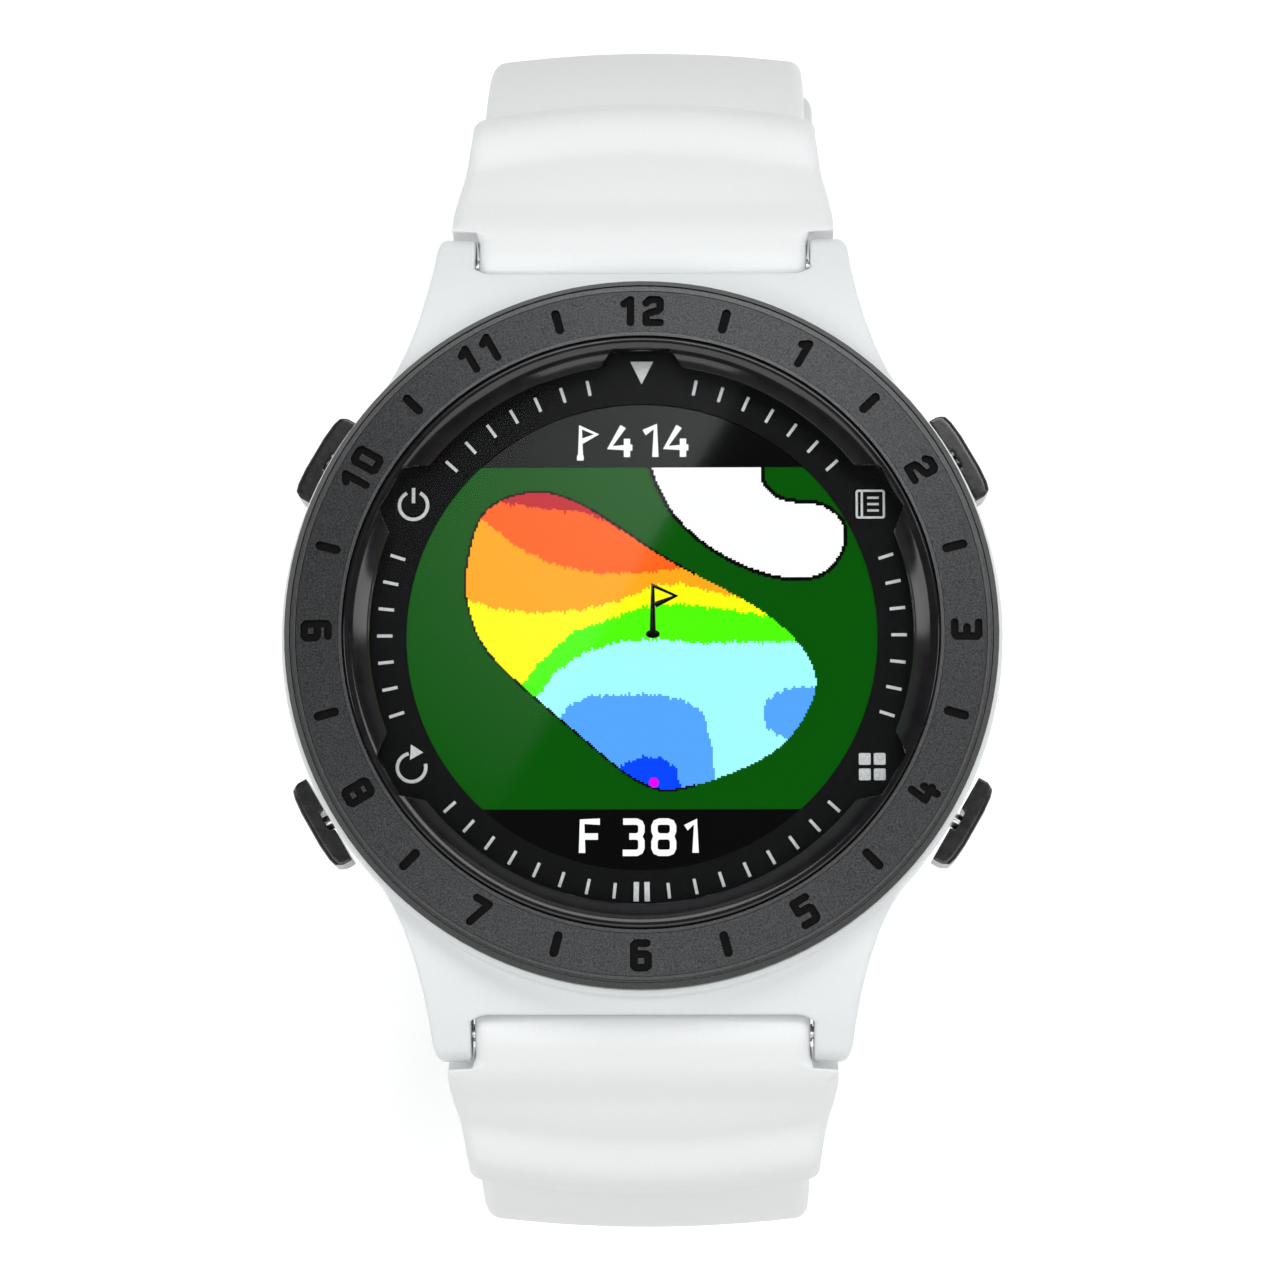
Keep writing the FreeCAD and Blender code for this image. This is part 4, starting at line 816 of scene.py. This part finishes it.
def zone_map(px, py):
    index = {name: number for number, name in enumerate(PALETTE)}
    out = np.full(px.shape, index["map"])
    within, gap = inside(px, py, GREEN_EDGE)
    zone = np.full(px.shape, index["red"])
    edges = [
        ("orange", [(-10.5, 9.0), (-8.5, 8.7), (-6, 8.3), (-4, 8.2), (-2.5, 7.6), (0, 6.2),
                    (2, 4.9), (5, 3.6)]),
        ("amber", [(-12, 8.6), (-9.9, 7.3), (-8.2, 5.9), (-6, 4.8), (-3, 4.1), (0, 4.1),
                   (3, 4.5), (5, 3.8)]),
        ("yellow", [(-12, 2.6), (-9.5, 1.8), (-7, 1.5), (-4, 1.7), (-1.5, 2.3), (0.8, 3.3),
                    (2.5, 3.4), (5, 2.8), (7.5, 2.2)]),
        ("green", [(-10, -8), (-8.0, -3.5), (-6.5, -1.6), (-4.4, 0.3), (-2, 1.1), (0, 1.9),
                   (2.5, 2.1), (5, 1.8), (8, 1.3), (12, 1.2)]),
        ("cyan", [(-10, -9), (-7.2, -4.6), (-5.6, -2.4), (-3.8, -1.1), (-1.5, -0.4),
                  (1, -0.2), (4, -0.5), (8, -0.4), (12, -0.5)]),
        ("blue", [(-8, -9), (-5.8, -6.2), (-4.8, -4.6), (-3.3, -3.9), (1, -3.8), (2.8, -4.2),
                  (4.0, -5.0), (4.6, -7.5), (4.8, -12)]),
        ("deep", [(-3, -12), (-1.6, -8.6), (-0.2, -7.9), (1.2, -7.9), (2.2, -8.5),
                  (3.0, -12)]),
    ]
    for name, knots in edges:
        zone = np.where(py < contour(px, knots), index[name], zone)
    pond = ((px - 10.4) / 2.6) ** 2 + ((py + 5.1) / 1.75) ** 2 < 1 + 0.1 * np.sin(px * 11)
    zone = np.where(pond, index["blue"], zone)
    out = np.where(within, zone, out)
    out = np.where((gap < 0.07) & (px < 3.5), index["black"], out)
    bunker, rim = inside(px, py, BUNKER_EDGE)
    out = np.where(bunker, index["white"], out)
    out = np.where(rim < 0.13, index["black"], out)
    out = np.where((py > BAR_TOP) | (py < BAR_BOTTOM), index["black"], out)
    return out


def picture_mesh():
    """The lit picture as rows of pixels; neighbours of one colour share a plate."""
    steps = int(PICTURE_RADIUS * 2 / PIXEL)
    centres = -PICTURE_RADIUS + PIXEL * (np.arange(steps) + 0.5)
    px, py = np.meshgrid(centres, centres)
    zones = zone_map(px, py)
    verts, faces, kinds = [], [], []
    height = PANEL + 0.01
    for row in range(steps):
        y0 = centres[row] - PIXEL / 2
        y1 = y0 + PIXEL
        reach = math.sqrt(max(PICTURE_RADIUS ** 2 - max(abs(y0), abs(y1)) ** 2, 0))
        if reach < PIXEL:
            continue
        column = int(np.searchsorted(centres, -reach))
        last = int(np.searchsorted(centres, reach))
        while column < last:
            kind = zones[row, column]
            end = column
            while end < last and zones[row, end] == kind:
                end += 1
            x0 = centres[column] - PIXEL / 2
            x1 = centres[end - 1] + PIXEL / 2
            start = len(verts)
            verts += [(x0, y0, height), (x1, y0, height), (x1, y1, height), (x0, y1, height)]
            faces.append((start, start + 1, start + 2, start + 3))
            kinds.append(kind)
            column = end
    obj = make_object("display_picture", verts, faces, PICTURE[PALETTE[0]], smooth=False)
    for name in PALETTE[1:]:
        obj.data.materials.append(PICTURE[name])
    for face, kind in zip(obj.data.polygons, kinds):
        face.material_index = int(kind)
    return obj


GLYPHS = {
    "1": [[(0.1, 1.6), (0.62, 2.0), (0.62, 0.0)]],
    "3": [[(0.02, 2), (0.75, 2), (0.93, 1.9), (1, 1.7), (1, 1.35), (0.92, 1.15), (0.75, 1.05),
           (0.35, 1.05)], [(0.75, 1.05), (0.92, 0.95), (1, 0.75), (1, 0.3), (0.93, 0.1),
                           (0.75, 0), (0.0, 0)]],
    "4": [[(0.62, 2), (0.0, 0.62), (1.05, 0.62)], [(0.8, 1.2), (0.8, 0)]],
    "8": [[(0.22, 1.05), (0.06, 1.2), (0, 1.4), (0, 1.7), (0.08, 1.92), (0.27, 2), (0.73, 2),
           (0.92, 1.92), (1, 1.7), (1, 1.4), (0.94, 1.2), (0.78, 1.05), (0.22, 1.05),
           (0.06, 0.92), (0, 0.7), (0, 0.3), (0.08, 0.08), (0.27, 0), (0.73, 0), (0.92, 0.08),
           (1, 0.3), (1, 0.7), (0.94, 0.92), (0.78, 1.05)]],
    "F": [[(0, 0), (0, 2), (0.95, 2)], [(0, 1.05), (0.85, 1.05)]],
}


def word(placed, base, height, wide):
    """Runs of strokes for glyphs, each at its own left edge."""
    unit = height / 2
    runs = []
    for glyph, left in placed:
        for run in GLYPHS[glyph]:
            runs.append([(left + x * wide, base + y * unit) for x, y in run])
    return runs


LETTERS = PANEL + 0.04
ride_watch.append(picture_mesh())
flag_icon = [[(-3.99, 11.75), (-3.99, 13.75), (-2.95, 13.28), (-3.9, 12.82)],
             [(-4.22, 11.72), (-3.78, 11.72)]]
ride_watch.append(stroke("display_flag_icon", flag_icon, 0.34, LETTERS, PICTURE["white"]))
top_word = word([("4", -2.08), ("1", 0.02), ("4", 1.57)], 11.77, 2.02, 1.40)
ride_watch.append(stroke("display_distance_top", top_word, 0.42, LETTERS, PICTURE["white"]))
low_word = word([("F", -3.84), ("3", -1.22), ("8", 0.82), ("1", 2.72)], -14.1, 2.02, 1.2)
ride_watch.append(stroke("display_distance_low", low_word, 0.42, LETTERS, PICTURE["white"]))
hole_flag = [[(0.72, 0.15), (0.72, 3.3), (2.2, 2.62), (0.85, 2.02)]]
ride_watch.append(stroke("display_hole_flag", hole_flag, 0.40, LETTERS, PICTURE["black"]))
hole = [[(0.72 + x, 0.12 + y * 0.6) for x, y in arc_points(0.45, 0, 345, 24)]]
ride_watch.append(prisms("display_hole", hole, PANEL + 0.02, PANEL + 0.04, PICTURE["black"]))
ball = [arc_points(0.32, 0, 345, 24, (0.78, -9.55))]
ride_watch.append(prisms("display_ball", ball, PANEL + 0.02, PANEL + 0.04, PICTURE["magenta"]))
for piece in ride_watch:
    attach(piece, "watch")

# ---------------------------------------------------------------- floor, light and camera

floor_z = CAD_BOX[0][2]
floor_mat = grained("floor", (0.93, 0.93, 0.93), (0.95, 0.95, 0.95), 0.9, 0.05, 40, 0.01,
                    specular=0.1)
floor_shader = floor_mat.node_tree.nodes["Principled BSDF"]
floor_shader.inputs["Emission Color"].default_value = (1, 1, 1, 1)
floor_shader.inputs["Emission Strength"].default_value = 0.26
bpy.ops.mesh.primitive_grid_add(x_subdivisions=8, y_subdivisions=8, size=6,
                                location=(0, 0, floor_z - 0.0002))
floor = bpy.context.object
floor.name = "floor"
floor.data.materials.append(floor_mat)

world = bpy.data.worlds.new("studio")
scene.world = world
world.use_nodes = True
sky = world.node_tree
sky_coords = sky.nodes.new("ShaderNodeTexCoord")
sky_split = sky.nodes.new("ShaderNodeSeparateXYZ")
sky_ramp = sky.nodes.new("ShaderNodeValToRGB")
sky_ramp.color_ramp.elements[0].position = 0.12
sky_ramp.color_ramp.elements[0].color = (0.60, 0.60, 0.60, 1)
sky_ramp.color_ramp.elements[1].position = 0.50
sky_ramp.color_ramp.elements[1].color = (0.09, 0.09, 0.09, 1)
sky.links.new(sky_coords.outputs["Generated"], sky_split.inputs["Vector"])
sky.links.new(sky_split.outputs["Z"], sky_ramp.inputs["Fac"])
sky.links.new(sky_ramp.outputs["Color"], sky.nodes["Background"].inputs["Color"])


def soft_light(name, place_mm, size_mm, radiance, aim_mm=(0, 0, 5), roll=0.0, spread=None):
    """A rectangle of light of a given radiance; a spread makes it fade off its axis."""
    data = bpy.data.lights.new(name, "AREA")
    data.shape = "RECTANGLE"
    data.size = size_mm[0] * MM
    data.size_y = size_mm[1] * MM
    data.energy = radiance * math.pi * data.size * data.size_y
    if spread:
        data.spread = spread
        data.energy *= 1 - spread / 2 / math.tan(spread / 2)
    lamp = bpy.data.objects.new(name, data)
    lamp.location = Vector(place_mm) * MM
    aim = Vector(aim_mm) * MM - lamp.location
    turn = aim.to_track_quat("-Z", "Y").to_matrix() @ Matrix.Rotation(roll, 3, "Z")
    lamp.rotation_euler = turn.to_euler()
    scene.collection.objects.link(lamp)
    return lamp


soft_light("back_softbox", (40, 400, 330), (420, 160), 1.0)
soft_light("front_softbox", (0, -330, 210), (300, 85), 3.2)
soft_light("left_softbox", (-330, 20, 210), (85, 300), 4.5)
soft_light("right_softbox", (330, 20, 210), (85, 300), 4.5)
soft_light("overhead_card", (0, -110, 345), (340, 200), 2.8)
soft_light("top_card", (25, 98, 212), (150, 70), 6.0, (0, 8, 12))
soft_light("glare_card", (-55.4, 82.2, 342), (110, 230), 1.3, (-55.4, 17.2, 0),
           math.radians(-30.8), math.radians(12))

TARGET = Vector((-0.06, -0.68, 12.5)) * MM
DISTANCE = 280 * MM
tilt = math.radians(8.0)
lean = math.radians(-1.0)
direction = Vector((-math.sin(lean), -math.sin(tilt), math.cos(tilt) * math.cos(lean))).normalized()
camera_data = bpy.data.cameras.new("camera")
camera_data.lens = 36 * 15.60 * 280 / 1280
camera_data.sensor_width = 36
camera = bpy.data.objects.new("camera", camera_data)
camera.location = TARGET + direction * DISTANCE
forward = -direction
right = forward.cross(Vector((0, 1, 0))).normalized()
up = right.cross(forward)
camera.rotation_euler = Matrix((right, up, direction)).transposed().to_euler()
scene.collection.objects.link(camera)
scene.camera = camera
scene.view_settings.view_transform = "Standard"
